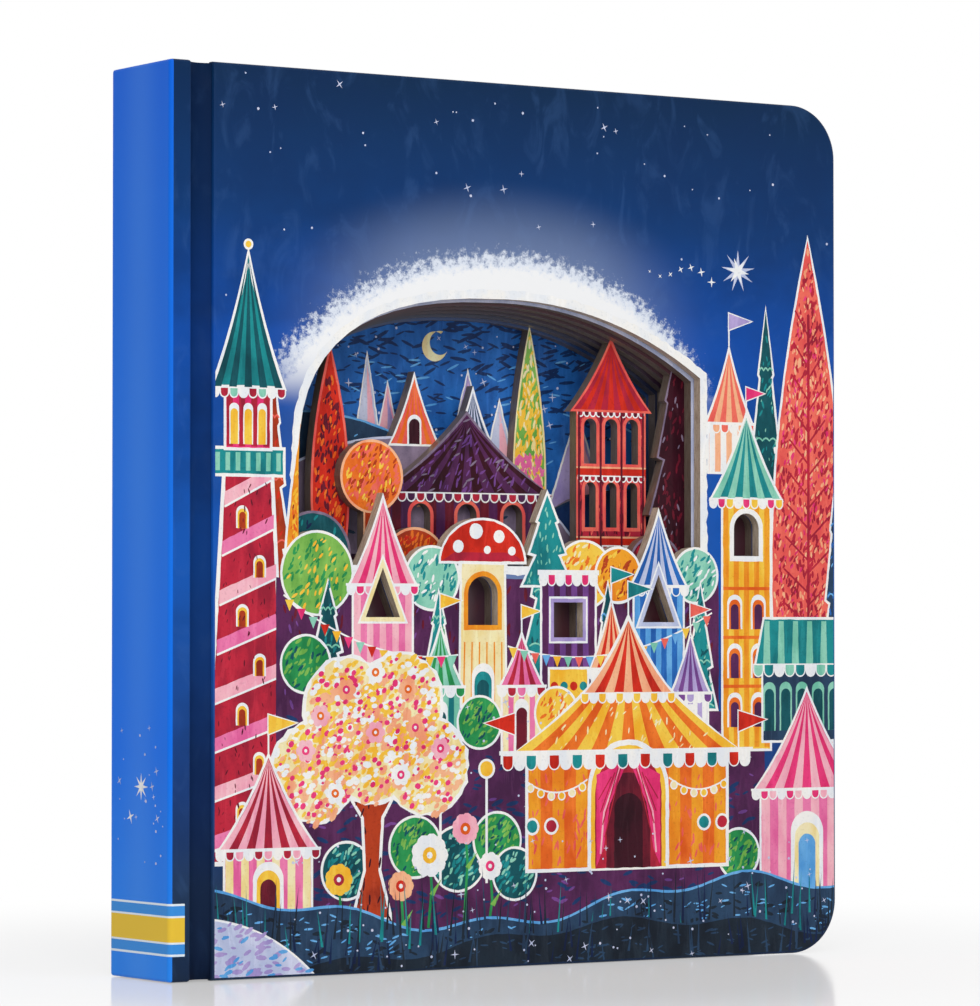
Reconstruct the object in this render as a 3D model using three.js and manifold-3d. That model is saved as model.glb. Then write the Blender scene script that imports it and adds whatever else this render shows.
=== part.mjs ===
// A peek-through picture book: thick board leaves in a hinged hard case. A large arched window is
// die-cut in the front cover, with small peepholes below it, and every leaf behind it is cut to its
// own skyline, so that the reader looks down a stepped tunnel into the book.
//
// Millimetres. The closed book stands on its tail edge. +X runs from the spine to the fore edge,
// +Y from the front cover to the back cover and +Z from tail to head. The origin is on the ground,
// at the middle of the book. Places on the covers and leaves are given as a reader would measure
// them: across from the spine edge, and up from the tail edge.
import * as THREE from "three";
import { mergeVertices } from "three/addons/utils/BufferGeometryUtils.js";
import Module from "manifold-3d";

const wasm = await Module();
wasm.setup();

// Driving dimensions of the case
const bookWidth = 190;
const bookHeight = 210;
const boardThickness = 2.6;
const spineThickness = 2.4;
const cornerRadius = 13;
const edgeRounding = 0.6;
const spineRounding = 1.3;
const shoulderWidth = 5.6;
const shoulderRounding = 0.8;
const grooveWidth = 5.6;
const grooveEdgeDepth = 1.2;
const grooveMiddleDepth = 1.9;
const clearance = 0.3;

// Driving dimensions of the leaves
const leafCount = 8;
const leafThickness = 2.8;
const coverOverhang = 2.5;
const leafEdgeRounding = 0.35;

// Driving dimensions of the arched window
const windowLeft = 34;
const windowRight = 148.5;
const windowFloor = 95;
const windowSpring = 118;
const windowApexAcross = 92;
const windowApexHeight = 158.5;
const windowRightHeight = 141.3;
const archSquareness = 2.6;
const archPoints = 14;
const archStep = 0.7;

// Driving dimensions of the peepholes
const peepholeDepthInLeaves = 1;
const peepholeWidth = 8.4;
const peepholeHeight = 10.5;

const curveSegments = 10;
const cutMargin = 1;
const cutOverlap = 0.02;

const bookThickness = leafCount * leafThickness + 2 * (boardThickness + clearance);
const spineEdge = -bookWidth / 2;
const frontFace = -bookThickness / 2;
const backFace = bookThickness / 2;
const blockFront = frontFace + boardThickness + clearance;

// The skylines are drawn in units of a hundredth of the window's width, from its lower left corner.
const unit = (windowRight - windowLeft) / 100;

// Turns a closed mesh into a solid that can be cut and joined.
function solidFrom(geometry) {
  const bare = geometry.clone();
  bare.deleteAttribute("normal");
  bare.deleteAttribute("uv");
  const welded = mergeVertices(bare, 1e-4);
  return new wasm.Manifold(
    new wasm.Mesh({
      numProp: 3,
      vertProperties: new Float32Array(welded.attributes.position.array),
      triVerts: new Uint32Array(welded.index.array),
    }),
  );
}

// Turns a solid back into a geometry that a mesh can show.
function geometryFrom(solid) {
  const mesh = solid.getMesh();
  const geometry = new THREE.BufferGeometry();
  geometry.setAttribute("position", new THREE.BufferAttribute(mesh.vertProperties, 3));
  geometry.setIndex(new THREE.BufferAttribute(mesh.triVerts, 1));
  geometry.computeVertexNormals();
  return geometry;
}

// Stands a flat geometry upright on its tail edge, with its front at frontY.
function stand(geometry, frontY, thickness, rounding = 0) {
  geometry.rotateX(Math.PI / 2);
  geometry.translate(spineEdge, frontY + thickness - rounding, 0);
  return solidFrom(geometry);
}

// A flat sheet of the given outline, from frontY to frontY + thickness.
function sheet(outline, frontY, thickness, rounding = 0) {
  const geometry = new THREE.ExtrudeGeometry(outline, {
    depth: thickness - 2 * rounding,
    curveSegments,
    bevelEnabled: rounding > 0,
    bevelThickness: rounding,
    bevelSize: rounding,
    bevelOffset: -rounding,
    bevelSegments: 2,
  });
  return stand(geometry, frontY, thickness, rounding);
}

// Joins the sheets of several outlines that are drawn in the window's units.
function drawnSheets(outlines, frontY, thickness) {
  const joined = outlines.map((outline) => {
    const geometry = new THREE.ExtrudeGeometry(outline, {
      depth: thickness,
      curveSegments,
      bevelEnabled: false,
    });
    geometry.scale(unit, unit, 1);
    geometry.translate(windowLeft, windowFloor, 0);
    return stand(geometry, frontY, thickness);
  });
  return joined.reduce((all, next) => all.add(next));
}

// A rectangle whose two fore-edge corners are rounded.
function boardOutline(left, right, bottom, top, radius) {
  const outline = new THREE.Shape();
  outline.moveTo(left, bottom);
  outline.lineTo(right - radius, bottom);
  outline.absarc(right - radius, bottom + radius, radius, -Math.PI / 2, 0, false);
  outline.lineTo(right, top - radius);
  outline.absarc(right - radius, top - radius, radius, 0, Math.PI / 2, false);
  outline.lineTo(left, top);
  outline.closePath();
  return outline;
}

// The arched window, made smaller all round by the inset: a squarish quarter ellipse climbs from
// the left side to the apex, and a circular arc falls from there to the right side.
function archOutline(inset) {
  const left = windowLeft + inset;
  const right = windowRight - inset;
  const floor = windowFloor + inset;
  const apexHeight = windowApexHeight - inset;
  const rightHeight = windowRightHeight - inset;
  const outline = new THREE.Shape();
  outline.moveTo(right, floor);
  const drop = apexHeight - rightHeight;
  const run = right - windowApexAcross;
  const radius = (run * run + drop * drop) / (2 * drop);
  const endAngle = Math.PI / 2 - Math.asin(run / radius);
  outline.lineTo(right, rightHeight);
  outline.absarc(windowApexAcross, apexHeight - radius, radius, endAngle, Math.PI / 2, false);
  for (let i = 1; i <= archPoints; i += 1) {
    const angle = (Math.PI / 2) * (1 - i / archPoints);
    const across = (windowApexAcross - left) * Math.cos(angle) ** (2 / archSquareness);
    const up = (apexHeight - windowSpring) * Math.sin(angle) ** (2 / archSquareness);
    outline.lineTo(windowApexAcross - across, windowSpring + up);
  }
  outline.lineTo(left, floor);
  outline.closePath();
  return outline;
}

function polygon(points) {
  return new THREE.Shape(points.map(([across, up]) => new THREE.Vector2(across, up)));
}

function disc(centre, height, radius) {
  return new THREE.Shape().absarc(centre, height, radius, 0, 2 * Math.PI, false);
}

// A tent: two slack sides that curve in towards the peak.
function tent(left, right, foot, peak) {
  const middle = (left + right) / 2;
  const slack = 0.42;
  const outline = new THREE.Shape();
  outline.moveTo(left, foot);
  outline.lineTo(right, foot);
  outline.quadraticCurveTo(middle + (right - middle) * slack, foot + (peak - foot) * slack, middle, peak);
  outline.quadraticCurveTo(middle - (right - middle) * slack, foot + (peak - foot) * slack, left, foot);
  return outline;
}

// A fir tree: tiers of branches that narrow towards the tip.
function fir(centre, foot, halfWidth, height, tiers = 3) {
  const side = [];
  for (let i = 0; i < tiers; i += 1) {
    const low = foot + (height * i) / tiers;
    const reach = halfWidth * (1 - i / (tiers + 0.6));
    side.push([reach, low]);
    if (i < tiers - 1) side.push([reach * 0.5, low + (height / tiers) * 0.95]);
  }
  const right = side.map(([reach, up]) => [centre + reach, up]);
  const left = side.map(([reach, up]) => [centre - reach, up]).reverse();
  return polygon([...right, [centre, foot + height], ...left]);
}

// A poplar: a tall leaf shape with a pointed tip.
function poplar(centre, foot, halfWidth, tip) {
  const outline = new THREE.Shape();
  const belly = foot + (tip - foot) * 0.45;
  outline.moveTo(centre - halfWidth * 0.6, foot);
  outline.lineTo(centre + halfWidth * 0.6, foot);
  outline.quadraticCurveTo(centre + halfWidth * 1.5, belly, centre, tip);
  outline.quadraticCurveTo(centre - halfWidth * 1.5, belly, centre - halfWidth * 0.6, foot);
  return outline;
}

// A toadstool: a stem under a half-round cap.
function toadstool(centre, foot, stemWidth, capWidth, capFoot, capTop) {
  const outline = new THREE.Shape();
  outline.moveTo(centre - stemWidth / 2, foot);
  outline.lineTo(centre + stemWidth / 2, foot);
  outline.lineTo(centre + stemWidth / 2, capFoot);
  outline.lineTo(centre + capWidth / 2, capFoot);
  outline.absellipse(centre, capFoot, capWidth / 2, capTop - capFoot, 0, Math.PI, false, 0);
  outline.lineTo(centre - stemWidth / 2, capFoot);
  outline.closePath();
  return outline;
}

// A round-headed doorway.
function archway(centre, sill, width, height) {
  const outline = new THREE.Shape();
  outline.moveTo(centre - width / 2, sill);
  outline.lineTo(centre + width / 2, sill);
  outline.absarc(centre, sill + height - width / 2, width / 2, 0, Math.PI, false);
  outline.closePath();
  return outline;
}

function triangle(centre, sill, width, height) {
  return polygon([
    [centre - width / 2, sill],
    [centre + width / 2, sill],
    [centre, sill + height],
  ]);
}

function rectangle(centre, sill, width, height) {
  return polygon([
    [centre - width / 2, sill],
    [centre + width / 2, sill],
    [centre + width / 2, sill + height],
    [centre - width / 2, sill + height],
  ]);
}

// The peepholes below the window, each with its own place and shape.
function peepholes() {
  const width = peepholeWidth / unit;
  const height = peepholeHeight / unit;
  return [
    triangle(20.1, -10.6, width * 1.12, height * 1.1),
    archway(44.5, -12.2, width, height * 1.1),
    rectangle(65.9, -14.8, width, height * 0.8),
    triangle(89.1, -11.6, width * 1.12, height * 1.1),
    archway(112.2, 2.6, width * 0.9, height),
  ];
}

// What stands in the cover's window: the tops of tents, bushes, a toadstool and a fir.
function coverSkyline() {
  return [
    disc(4.4, -1.7, 8.7),
    tent(11.4, 28.8, -4.4, 14.8),
    disc(32, -2.6, 6.8),
    toadstool(44.5, -4.4, 12.2, 21.8, 0.4, 10),
    fir(60.6, -4.4, 7, 20.5),
    disc(69.9, -1.7, 7.4),
    disc(78.6, -1.7, 6.1),
    tent(81.2, 97, -4.4, 12.7),
    disc(98.7, -1.7, 6.1),
  ];
}

function pairOfBushes() {
  return { standing: [disc(5, 2, 9), disc(90, 0, 7)], cut: [] };
}

function roundTreeAndFir() {
  const standing = [
    disc(20.5, 18.3, 7.6),
    rectangle(20.5, -1, 4, 16),
    disc(31, 0, 8),
    fir(97.5, -1, 9.5, 49, 4),
  ];
  return { standing, cut: [] };
}

// An open bandstand: two rows of three arched openings under a pointed roof, beside a poplar.
function bandstand() {
  const centre = 82;
  const halfWidth = 9;
  const eaves = 34;
  const bays = [-5.4, 0, 5.4].map((offset) => centre + offset);
  const standing = [
    rectangle(centre, -1, 2 * halfWidth, eaves + 1),
    tent(centre - halfWidth - 1.6, centre + halfWidth + 1.6, eaves - 1, 49),
    poplar(12, -1, 5, 45.4),
  ];
  const cut = [
    ...bays.map((bay) => archway(bay, 22, 3.2, 9.6)),
    ...bays.map((bay) => archway(bay, 8.5, 2.8, 9.6)),
  ];
  return { standing, cut };
}

// A long marquee with arched windows in its wall.
function marquee() {
  const centre = 47;
  const halfWidth = 19.4;
  const eaves = 15;
  const standing = [
    rectangle(centre, -1, 2 * halfWidth, eaves + 1.5),
    tent(centre - halfWidth - 2.4, centre + halfWidth + 2.4, eaves, 32.5),
  ];
  const cut = [-11.5, 0, 11.5].map((offset) => archway(centre + offset, 4.5, 4.8, 8.6));
  return { standing, cut };
}

function tentsOnHill() {
  const standing = [disc(31.4, -30.6, 57.6), tent(29, 42, 25, 40.6), tent(43.6, 56.6, 23, 38)];
  return { standing, cut: [] };
}

function poplarOnHills() {
  return { standing: [disc(92, -30, 47), disc(10, -30, 62), poplar(66, -1, 4.6, 51.5)], cut: [] };
}

// The leaves that are cut, from the front leaf on.
function leafSkylines() {
  return [
    pairOfBushes(),
    roundTreeAndFir(),
    bandstand(),
    marquee(),
    tentsOnHill(),
    poplarOnHills(),
  ];
}

// The opening of one sheet: the arch, less everything that stands in it.
function skylineOpening(standing, inset, frontY, thickness) {
  const arch = sheet(archOutline(inset), frontY, thickness);
  return arch.subtract(drawnSheets(standing, frontY - cutMargin, thickness + 2 * cutMargin));
}

function coverOutline() {
  return boardOutline(shoulderWidth + grooveWidth, bookWidth, 0, bookHeight, cornerRadius);
}

function frontCover() {
  const board = sheet(coverOutline(), frontFace, boardThickness, edgeRounding);
  const cutFront = frontFace - cutMargin;
  const cutThickness = boardThickness + 2 * cutMargin;
  return board
    .subtract(skylineOpening(coverSkyline(), 0, cutFront, cutThickness))
    .subtract(drawnSheets(peepholes(), cutFront, cutThickness));
}

function backCover() {
  return sheet(coverOutline(), backFace - boardThickness, boardThickness, edgeRounding);
}

// The outline of the leaves, made smaller all round by the inset.
function leafOutline(inset) {
  return boardOutline(
    spineThickness + clearance + inset,
    bookWidth - coverOverhang - inset,
    coverOverhang + inset,
    bookHeight - coverOverhang - inset,
    cornerRadius - coverOverhang - inset,
  );
}

// Closes a stack of outlines into one solid. Each section gives its points and its depth, from the
// front of the book to the back, and all sections have the same number of points.
function lofted(sections) {
  const size = sections[0].points.length;
  const positions = sections.flatMap(({ points, depth }) =>
    points.flatMap((point) => [spineEdge + point.x, depth, point.y]),
  );
  const index = [];
  for (let i = 0; i < sections.length - 1; i += 1) {
    for (let j = 0; j < size; j += 1) {
      const next = (j + 1) % size;
      const near = [i * size + j, i * size + next];
      const far = [near[0] + size, near[1] + size];
      index.push(near[0], far[1], near[1], near[0], far[0], far[1]);
    }
  }
  const last = (sections.length - 1) * size;
  for (const [a, b, c] of THREE.ShapeUtils.triangulateShape(sections[0].points, [])) {
    index.push(a, b, c, last + a, last + c, last + b);
  }
  const geometry = new THREE.BufferGeometry();
  geometry.setAttribute("position", new THREE.Float32BufferAttribute(positions, 3));
  geometry.setIndex(index);
  return solidFrom(geometry);
}

// The leaves, bound into one block. Each leaf's edge is slightly rounded, so that the stack shows a
// fine groove between one leaf and the next.
function boundLeaves() {
  const section = (inset, depth) => {
    const all = leafOutline(inset).getPoints(curveSegments);
    const points = all.filter((point, i) => point.distanceTo(all.at(i - 1)) > 1e-6);
    return { points, depth };
  };
  const sections = [section(leafEdgeRounding, blockFront)];
  for (let i = 0; i < leafCount; i += 1) {
    const leafFront = blockFront + i * leafThickness;
    sections.push(section(0, leafFront + leafEdgeRounding));
    sections.push(section(0, leafFront + leafThickness - leafEdgeRounding));
    sections.push(section(leafEdgeRounding, leafFront + leafThickness));
  }
  return lofted(sections);
}

function pageBlock() {
  let block = boundLeaves();
  leafSkylines().forEach(({ standing, cut }, i) => {
    const cutFront = blockFront + i * leafThickness - (i === 0 ? cutMargin : cutOverlap);
    const cutBack = blockFront + (i + 1) * leafThickness;
    const inset = archStep * (i + 1);
    block = block.subtract(skylineOpening(standing, inset, cutFront, cutBack - cutFront));
    if (cut.length > 0) block = block.subtract(drawnSheets(cut, cutFront, cutBack - cutFront));
  });
  const peepholeDepth = peepholeDepthInLeaves * leafThickness + cutMargin;
  return block.subtract(drawnSheets(peepholes(), blockFront - cutMargin, peepholeDepth));
}

// A profile in plan, drawn out over the book's height with its two ends slightly rounded.
function upright(profile, rounding) {
  const geometry = new THREE.ExtrudeGeometry(profile, {
    depth: bookHeight - 2 * rounding,
    curveSegments: 4,
    bevelEnabled: rounding > 0,
    bevelThickness: rounding,
    bevelSize: rounding,
    bevelOffset: -rounding,
    bevelSegments: 2,
  });
  geometry.translate(spineEdge, 0, rounding);
  return solidFrom(geometry);
}

// The spine and its two shoulders: a channel that holds the bound edge of the leaves.
function spineCover() {
  const innerFront = frontFace + boardThickness;
  const innerBack = backFace - boardThickness;
  const profile = new THREE.Shape();
  profile.moveTo(spineRounding, frontFace);
  profile.lineTo(shoulderWidth - shoulderRounding, frontFace);
  profile.absarc(
    shoulderWidth - shoulderRounding,
    frontFace + shoulderRounding,
    shoulderRounding,
    -Math.PI / 2,
    0,
    false,
  );
  profile.lineTo(shoulderWidth, innerFront);
  profile.lineTo(spineThickness, innerFront);
  profile.lineTo(spineThickness, innerBack);
  profile.lineTo(shoulderWidth, innerBack);
  profile.absarc(
    shoulderWidth - shoulderRounding,
    backFace - shoulderRounding,
    shoulderRounding,
    0,
    Math.PI / 2,
    false,
  );
  profile.absarc(spineRounding, backFace - spineRounding, spineRounding, Math.PI / 2, Math.PI, false);
  profile.absarc(spineRounding, frontFace + spineRounding, spineRounding, Math.PI, 1.5 * Math.PI, false);
  return upright(profile, edgeRounding);
}

// The flexible strip of covering paper at the bottom of the groove between shoulder and cover.
// side is -1 at the front cover and +1 at the back cover.
function hingeStrip(side) {
  const face = side * (bookThickness / 2);
  const left = shoulderWidth + clearance;
  const right = shoulderWidth + grooveWidth - clearance;
  const edge = face - side * grooveEdgeDepth;
  const middle = face - side * (2 * grooveMiddleDepth - grooveEdgeDepth);
  const inner = face - side * boardThickness;
  const profile = new THREE.Shape();
  profile.moveTo(left, inner);
  profile.lineTo(left, edge);
  profile.quadraticCurveTo((left + right) / 2, middle, right, edge);
  profile.lineTo(right, inner);
  profile.closePath();
  return upright(profile, 0);
}

const printedNavy = new THREE.MeshStandardMaterial({ color: 0x1d3f7d, roughness: 0.35, metalness: 0 });
const printedBlue = new THREE.MeshStandardMaterial({ color: 0x1f66c8, roughness: 0.35, metalness: 0 });
const leafBoard = new THREE.MeshStandardMaterial({ color: 0xb45a4e, roughness: 0.6, metalness: 0 });

function piece(name, solid, material) {
  const mesh = new THREE.Mesh(geometryFrom(solid), material);
  mesh.name = name;
  return mesh;
}

const book = new THREE.Group();
book.add(
  piece("front_cover", frontCover(), printedNavy),
  piece("back_cover", backCover(), printedNavy),
  piece("spine_cover", spineCover(), printedBlue),
  piece("front_hinge", hingeStrip(-1), printedNavy),
  piece("back_hinge", hingeStrip(1), printedNavy),
  piece("page_block", pageBlock(), leafBoard),
);

export default book;
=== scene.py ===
# The looks of a peek-through picture book: a hard case with a glossy printed cover, an arched
# die-cut window, small peepholes, and a stepped tunnel of printed board leaves behind them. The
# print is a generic fairground in a wood at night. All print is flat colour on thin meshes.
import math

import bmesh
import bpy
import numpy as np
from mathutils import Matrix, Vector, noise
from mathutils.geometry import delaunay_2d_cdt


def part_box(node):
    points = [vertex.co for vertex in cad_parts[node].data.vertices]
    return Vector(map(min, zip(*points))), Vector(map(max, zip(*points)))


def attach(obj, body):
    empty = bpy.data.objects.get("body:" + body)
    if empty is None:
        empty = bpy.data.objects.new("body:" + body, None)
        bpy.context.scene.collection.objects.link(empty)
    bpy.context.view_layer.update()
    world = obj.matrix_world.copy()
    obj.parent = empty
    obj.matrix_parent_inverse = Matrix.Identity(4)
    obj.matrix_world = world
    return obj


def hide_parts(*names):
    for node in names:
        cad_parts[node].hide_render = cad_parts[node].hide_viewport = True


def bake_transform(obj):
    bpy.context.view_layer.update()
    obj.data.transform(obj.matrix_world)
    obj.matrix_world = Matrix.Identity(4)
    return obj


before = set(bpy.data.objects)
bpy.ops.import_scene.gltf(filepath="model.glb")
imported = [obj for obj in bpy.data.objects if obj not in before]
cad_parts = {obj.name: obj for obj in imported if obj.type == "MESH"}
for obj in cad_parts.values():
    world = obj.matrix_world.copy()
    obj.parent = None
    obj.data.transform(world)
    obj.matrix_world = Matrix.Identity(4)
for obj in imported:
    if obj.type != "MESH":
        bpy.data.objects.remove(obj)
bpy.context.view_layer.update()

# Sizes of the print are in millimetres on the closed book, as a reader would measure them: across
# from the spine edge and up from the tail edge.
MM = 0.001
SPINE_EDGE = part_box("spine_cover")[0][0]
FRONT_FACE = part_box("front_cover")[0][1]
BACK_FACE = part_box("back_cover")[1][1]
BLOCK_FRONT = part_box("page_block")[0][1]
BLOCK_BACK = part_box("page_block")[1][1]
BOOK_HEIGHT = 210
BOOK_WIDTH = 190
PANEL_LEFT = 11.2
CORNER_RADIUS = 13
EDGE_ROUNDING = 0.6
LEAF_COUNT = 8
LEAF_THICKNESS = (BLOCK_BACK - BLOCK_FRONT) / LEAF_COUNT
SHOULDER_WIDTH = 5.6

# The window's sizes, and the unit in which its skylines are drawn
WINDOW_LEFT = 34
WINDOW_RIGHT = 148.5
WINDOW_FLOOR = 95
WINDOW_SPRING = 118
WINDOW_APEX = 92
WINDOW_APEX_HEIGHT = 158.5
WINDOW_RIGHT_HEIGHT = 141.3
WINDOW_STEP = 0.7
ARCH_SQUARENESS = 2.6
UNIT = (WINDOW_RIGHT - WINDOW_LEFT) / 100
PEEPHOLE_WIDTH = 8.4
PEEPHOLE_HEIGHT = 10.5

# The frosted white arch painted over the window
ARCH_CENTRE = 92
ARCH_SPRING = 118
ARCH_LEFT_REACH = 71
ARCH_RIGHT_REACH = 63.5
ARCH_RISE = 50.5

# How near points of the print count as one, how far the print stands off the paper, how wide a
# painted white outline is, how deep the paper grain is, and how far the outer paper is turned
# round a board
MERGE_DISTANCE = 1e-4
INK = 0.02 * MM
RIM = 0.62
GRAIN_DEPTH = 0.04 * MM
PAPER_TURN = 2.2 * MM

INKS = {
    "white": ("#f7f5f0", "#e9edf2"),
    "cream": ("#f5e9bd", "#f0d993"),
    "yellow": ("#f7cd4e", "#f3b32e"),
    "amber": ("#f2a32b", "#e88420"),
    "orange": ("#f0792a", "#dd5a1c"),
    "rust": ("#b8401f", "#8f2c1a"),
    "coral": ("#f2705f", "#e2504f"),
    "peach": ("#f8b98f", "#f29a74"),
    "pink": ("#ee7fae", "#e2609b"),
    "hot_pink": ("#ee3f7f", "#d92a68"),
    "blush": ("#f7bcc6", "#f19db5"),
    "crimson": ("#c0283e", "#962036"),
    "scarlet": ("#d8301f", "#b52318"),
    "maroon": ("#6f1a2c", "#4e1424"),
    "oxblood": ("#3c1220", "#2a0d18"),
    "plum": ("#5a2a57", "#442044"),
    "purple": ("#7c4a93", "#623a7d"),
    "lilac": ("#b7a6d6", "#9c8cc6"),
    "mist": ("#cfd3ea", "#b4bedd"),
    "navy": ("#16264c", "#101c3a"),
    "night": ("#1f3a6b", "#182e58"),
    "slate": ("#2c4663", "#22354e"),
    "ink_blue": ("#1f2b38", "#161e29"),
    "blue": ("#2c6fc0", "#2158a3"),
    "sky": ("#6fb1e6", "#4f97d8"),
    "teal": ("#1f8f92", "#167076"),
    "deep_teal": ("#14565f", "#0f434c"),
    "mint": ("#93d2bb", "#6fbda4"),
    "green": ("#2f9a55", "#1f7d45"),
    "leaf": ("#86bd58", "#63a346"),
    "mauve": ("#8b7a90", "#6f6279"),
}


def linear(hex_colour):
    """An sRGB colour such as #1f8f92 as linear red, green, blue and 1."""
    channels = [int(hex_colour[i : i + 2], 16) / 255 for i in (1, 3, 5)]
    bent = [c / 12.92 if c <= 0.04045 else ((c + 0.055) / 1.055) ** 2.4 for c in channels]
    return (*bent, 1.0)


# Outlines. Each is a list of (across, up) points, anticlockwise as seen from the front.


def arc(centre, height, radius, start, end, steps=24, squash=1.0):
    points = []
    for i in range(steps + 1):
        angle = math.radians(start + (end - start) * i / steps)
        points.append((centre + radius * math.cos(angle), height + radius * squash * math.sin(angle)))
    return points


def disc(centre, height, radius, steps=40):
    return arc(centre, height, radius, 0, 360, steps)[:-1]


def curve(start, control, end, steps=12):
    """A curve with one control point, without its first point."""
    points = []
    for i in range(1, steps + 1):
        t = i / steps
        weights = ((1 - t) ** 2, 2 * t * (1 - t), t * t)
        points.append(
            tuple(sum(w * p[axis] for w, p in zip(weights, (start, control, end))) for axis in (0, 1))
        )
    return points


# How far a tent roof's sides hang in, 0.5 for straight sides
SLACK = 0.42


def tent(left, right, foot, peak):
    middle = (left + right) / 2
    rise = foot + (peak - foot) * SLACK
    right_side = curve((right, foot), (middle + (right - middle) * SLACK, rise), (middle, peak))
    left_side = curve((middle, peak), (middle - (right - middle) * SLACK, rise), (left, foot))
    return [(left, foot), (right, foot), *right_side, *left_side[:-1]]


def fir(centre, foot, half_width, height, tiers=3):
    side = []
    for i in range(tiers):
        low = foot + height * i / tiers
        reach = half_width * (1 - i / (tiers + 0.6))
        side.append((reach, low))
        if i < tiers - 1:
            side.append((reach * 0.5, low + height / tiers * 0.95))
    right = [(centre + reach, up) for reach, up in side]
    left = [(centre - reach, up) for reach, up in reversed(side)]
    return [*right, (centre, foot + height), *left]


def poplar(centre, foot, half_width, tip):
    belly = foot + (tip - foot) * 0.45
    right = (centre + half_width * 0.6, foot)
    left = (centre - half_width * 0.6, foot)
    up = curve(right, (centre + half_width * 1.5, belly), (centre, tip))
    down = curve((centre, tip), (centre - half_width * 1.5, belly), left)
    return [left, right, *up, *down[:-1]]


def toadstool(centre, foot, stem_width, cap_width, cap_foot, cap_top):
    squash = (cap_top - cap_foot) / (cap_width / 2)
    cap = arc(centre, cap_foot, cap_width / 2, 0, 180, 24, squash)
    half = stem_width / 2
    return [
        (centre - half, foot),
        (centre + half, foot),
        (centre + half, cap_foot),
        *cap,
        (centre - half, cap_foot),
    ]


def archway(centre, sill, width, height):
    head = arc(centre, sill + height - width / 2, width / 2, 0, 180, 14)
    return [(centre - width / 2, sill), (centre + width / 2, sill), *head]


def triangle(centre, sill, width, height):
    return [(centre - width / 2, sill), (centre + width / 2, sill), (centre, sill + height)]


def rectangle(centre, sill, width, height):
    left = centre - width / 2
    right = centre + width / 2
    return [(left, sill), (right, sill), (right, sill + height), (left, sill + height)]


def star(centre, height, radius, points=4, waist=0.28, turn=0.0):
    outline = []
    for i in range(2 * points):
        angle = math.radians(turn + 90 + 180 * i / points)
        reach = radius if i % 2 == 0 else radius * waist
        outline.append((centre + reach * math.cos(angle), height + reach * math.sin(angle)))
    return outline


def window_x(x):
    return WINDOW_LEFT + UNIT * x


def window_y(y):
    return WINDOW_FLOOR + UNIT * y


def in_window(outline):
    """Takes an outline from window units to millimetres."""
    return [(window_x(x), window_y(y)) for x, y in outline]


def area(outline):
    """Twice the signed area, positive for an anticlockwise outline."""
    pairs = zip(outline, outline[1:] + outline[:1])
    return sum(x0 * y1 - x1 * y0 for (x0, y0), (x1, y1) in pairs)


# Limits how far the offset reaches at a sharp corner
SHARPEST_TURN = 0.45


def offset(outline, distance):
    """Moves an anticlockwise outline outwards, or inwards where distance is negative."""
    if area(outline) < 0:
        outline = outline[::-1]
    moved = []
    count = len(outline)
    for i in range(count):
        before = Vector(outline[i]) - Vector(outline[i - 1])
        after = Vector(outline[(i + 1) % count]) - Vector(outline[i])
        if before.length < 1e-6 or after.length < 1e-6:
            continue
        normal_before = Vector((before.y, -before.x)).normalized()
        normal_after = Vector((after.y, -after.x)).normalized()
        bisector = normal_before + normal_after
        if bisector.length < 1e-3:
            bisector = normal_before
        bisector.normalize()
        reach = distance / max(bisector.dot(normal_before), SHARPEST_TURN)
        moved.append((outline[i][0] + bisector.x * reach, outline[i][1] + bisector.y * reach))
    return moved


def drawn_by_hand(outline, amount=0.16, step=1.1, grain=0.55):
    """Adds points along the outline and shakes them a little, as a chalk line is."""
    points = []
    count = len(outline)
    for i in range(count):
        (x0, y0), (x1, y1) = outline[i], outline[(i + 1) % count]
        pieces = max(1, int(math.hypot(x1 - x0, y1 - y0) / step))
        for j in range(pieces):
            x = x0 + (x1 - x0) * j / pieces
            y = y0 + (y1 - y0) * j / pieces
            shake_x = noise.noise(Vector((x * grain, y * grain, 3.1)))
            shake_y = noise.noise(Vector((x * grain, y * grain, 7.7)))
            points.append((x + amount * shake_x, y + amount * shake_y))
    return points


def board_outline(left, right, bottom, top, radius):
    lower = arc(right - radius, bottom + radius, radius, -90, 0, 12)
    upper = arc(right - radius, top - radius, radius, 0, 90, 12)
    return [(left, bottom), *lower, *upper, (left, top)]


# Materials


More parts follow.
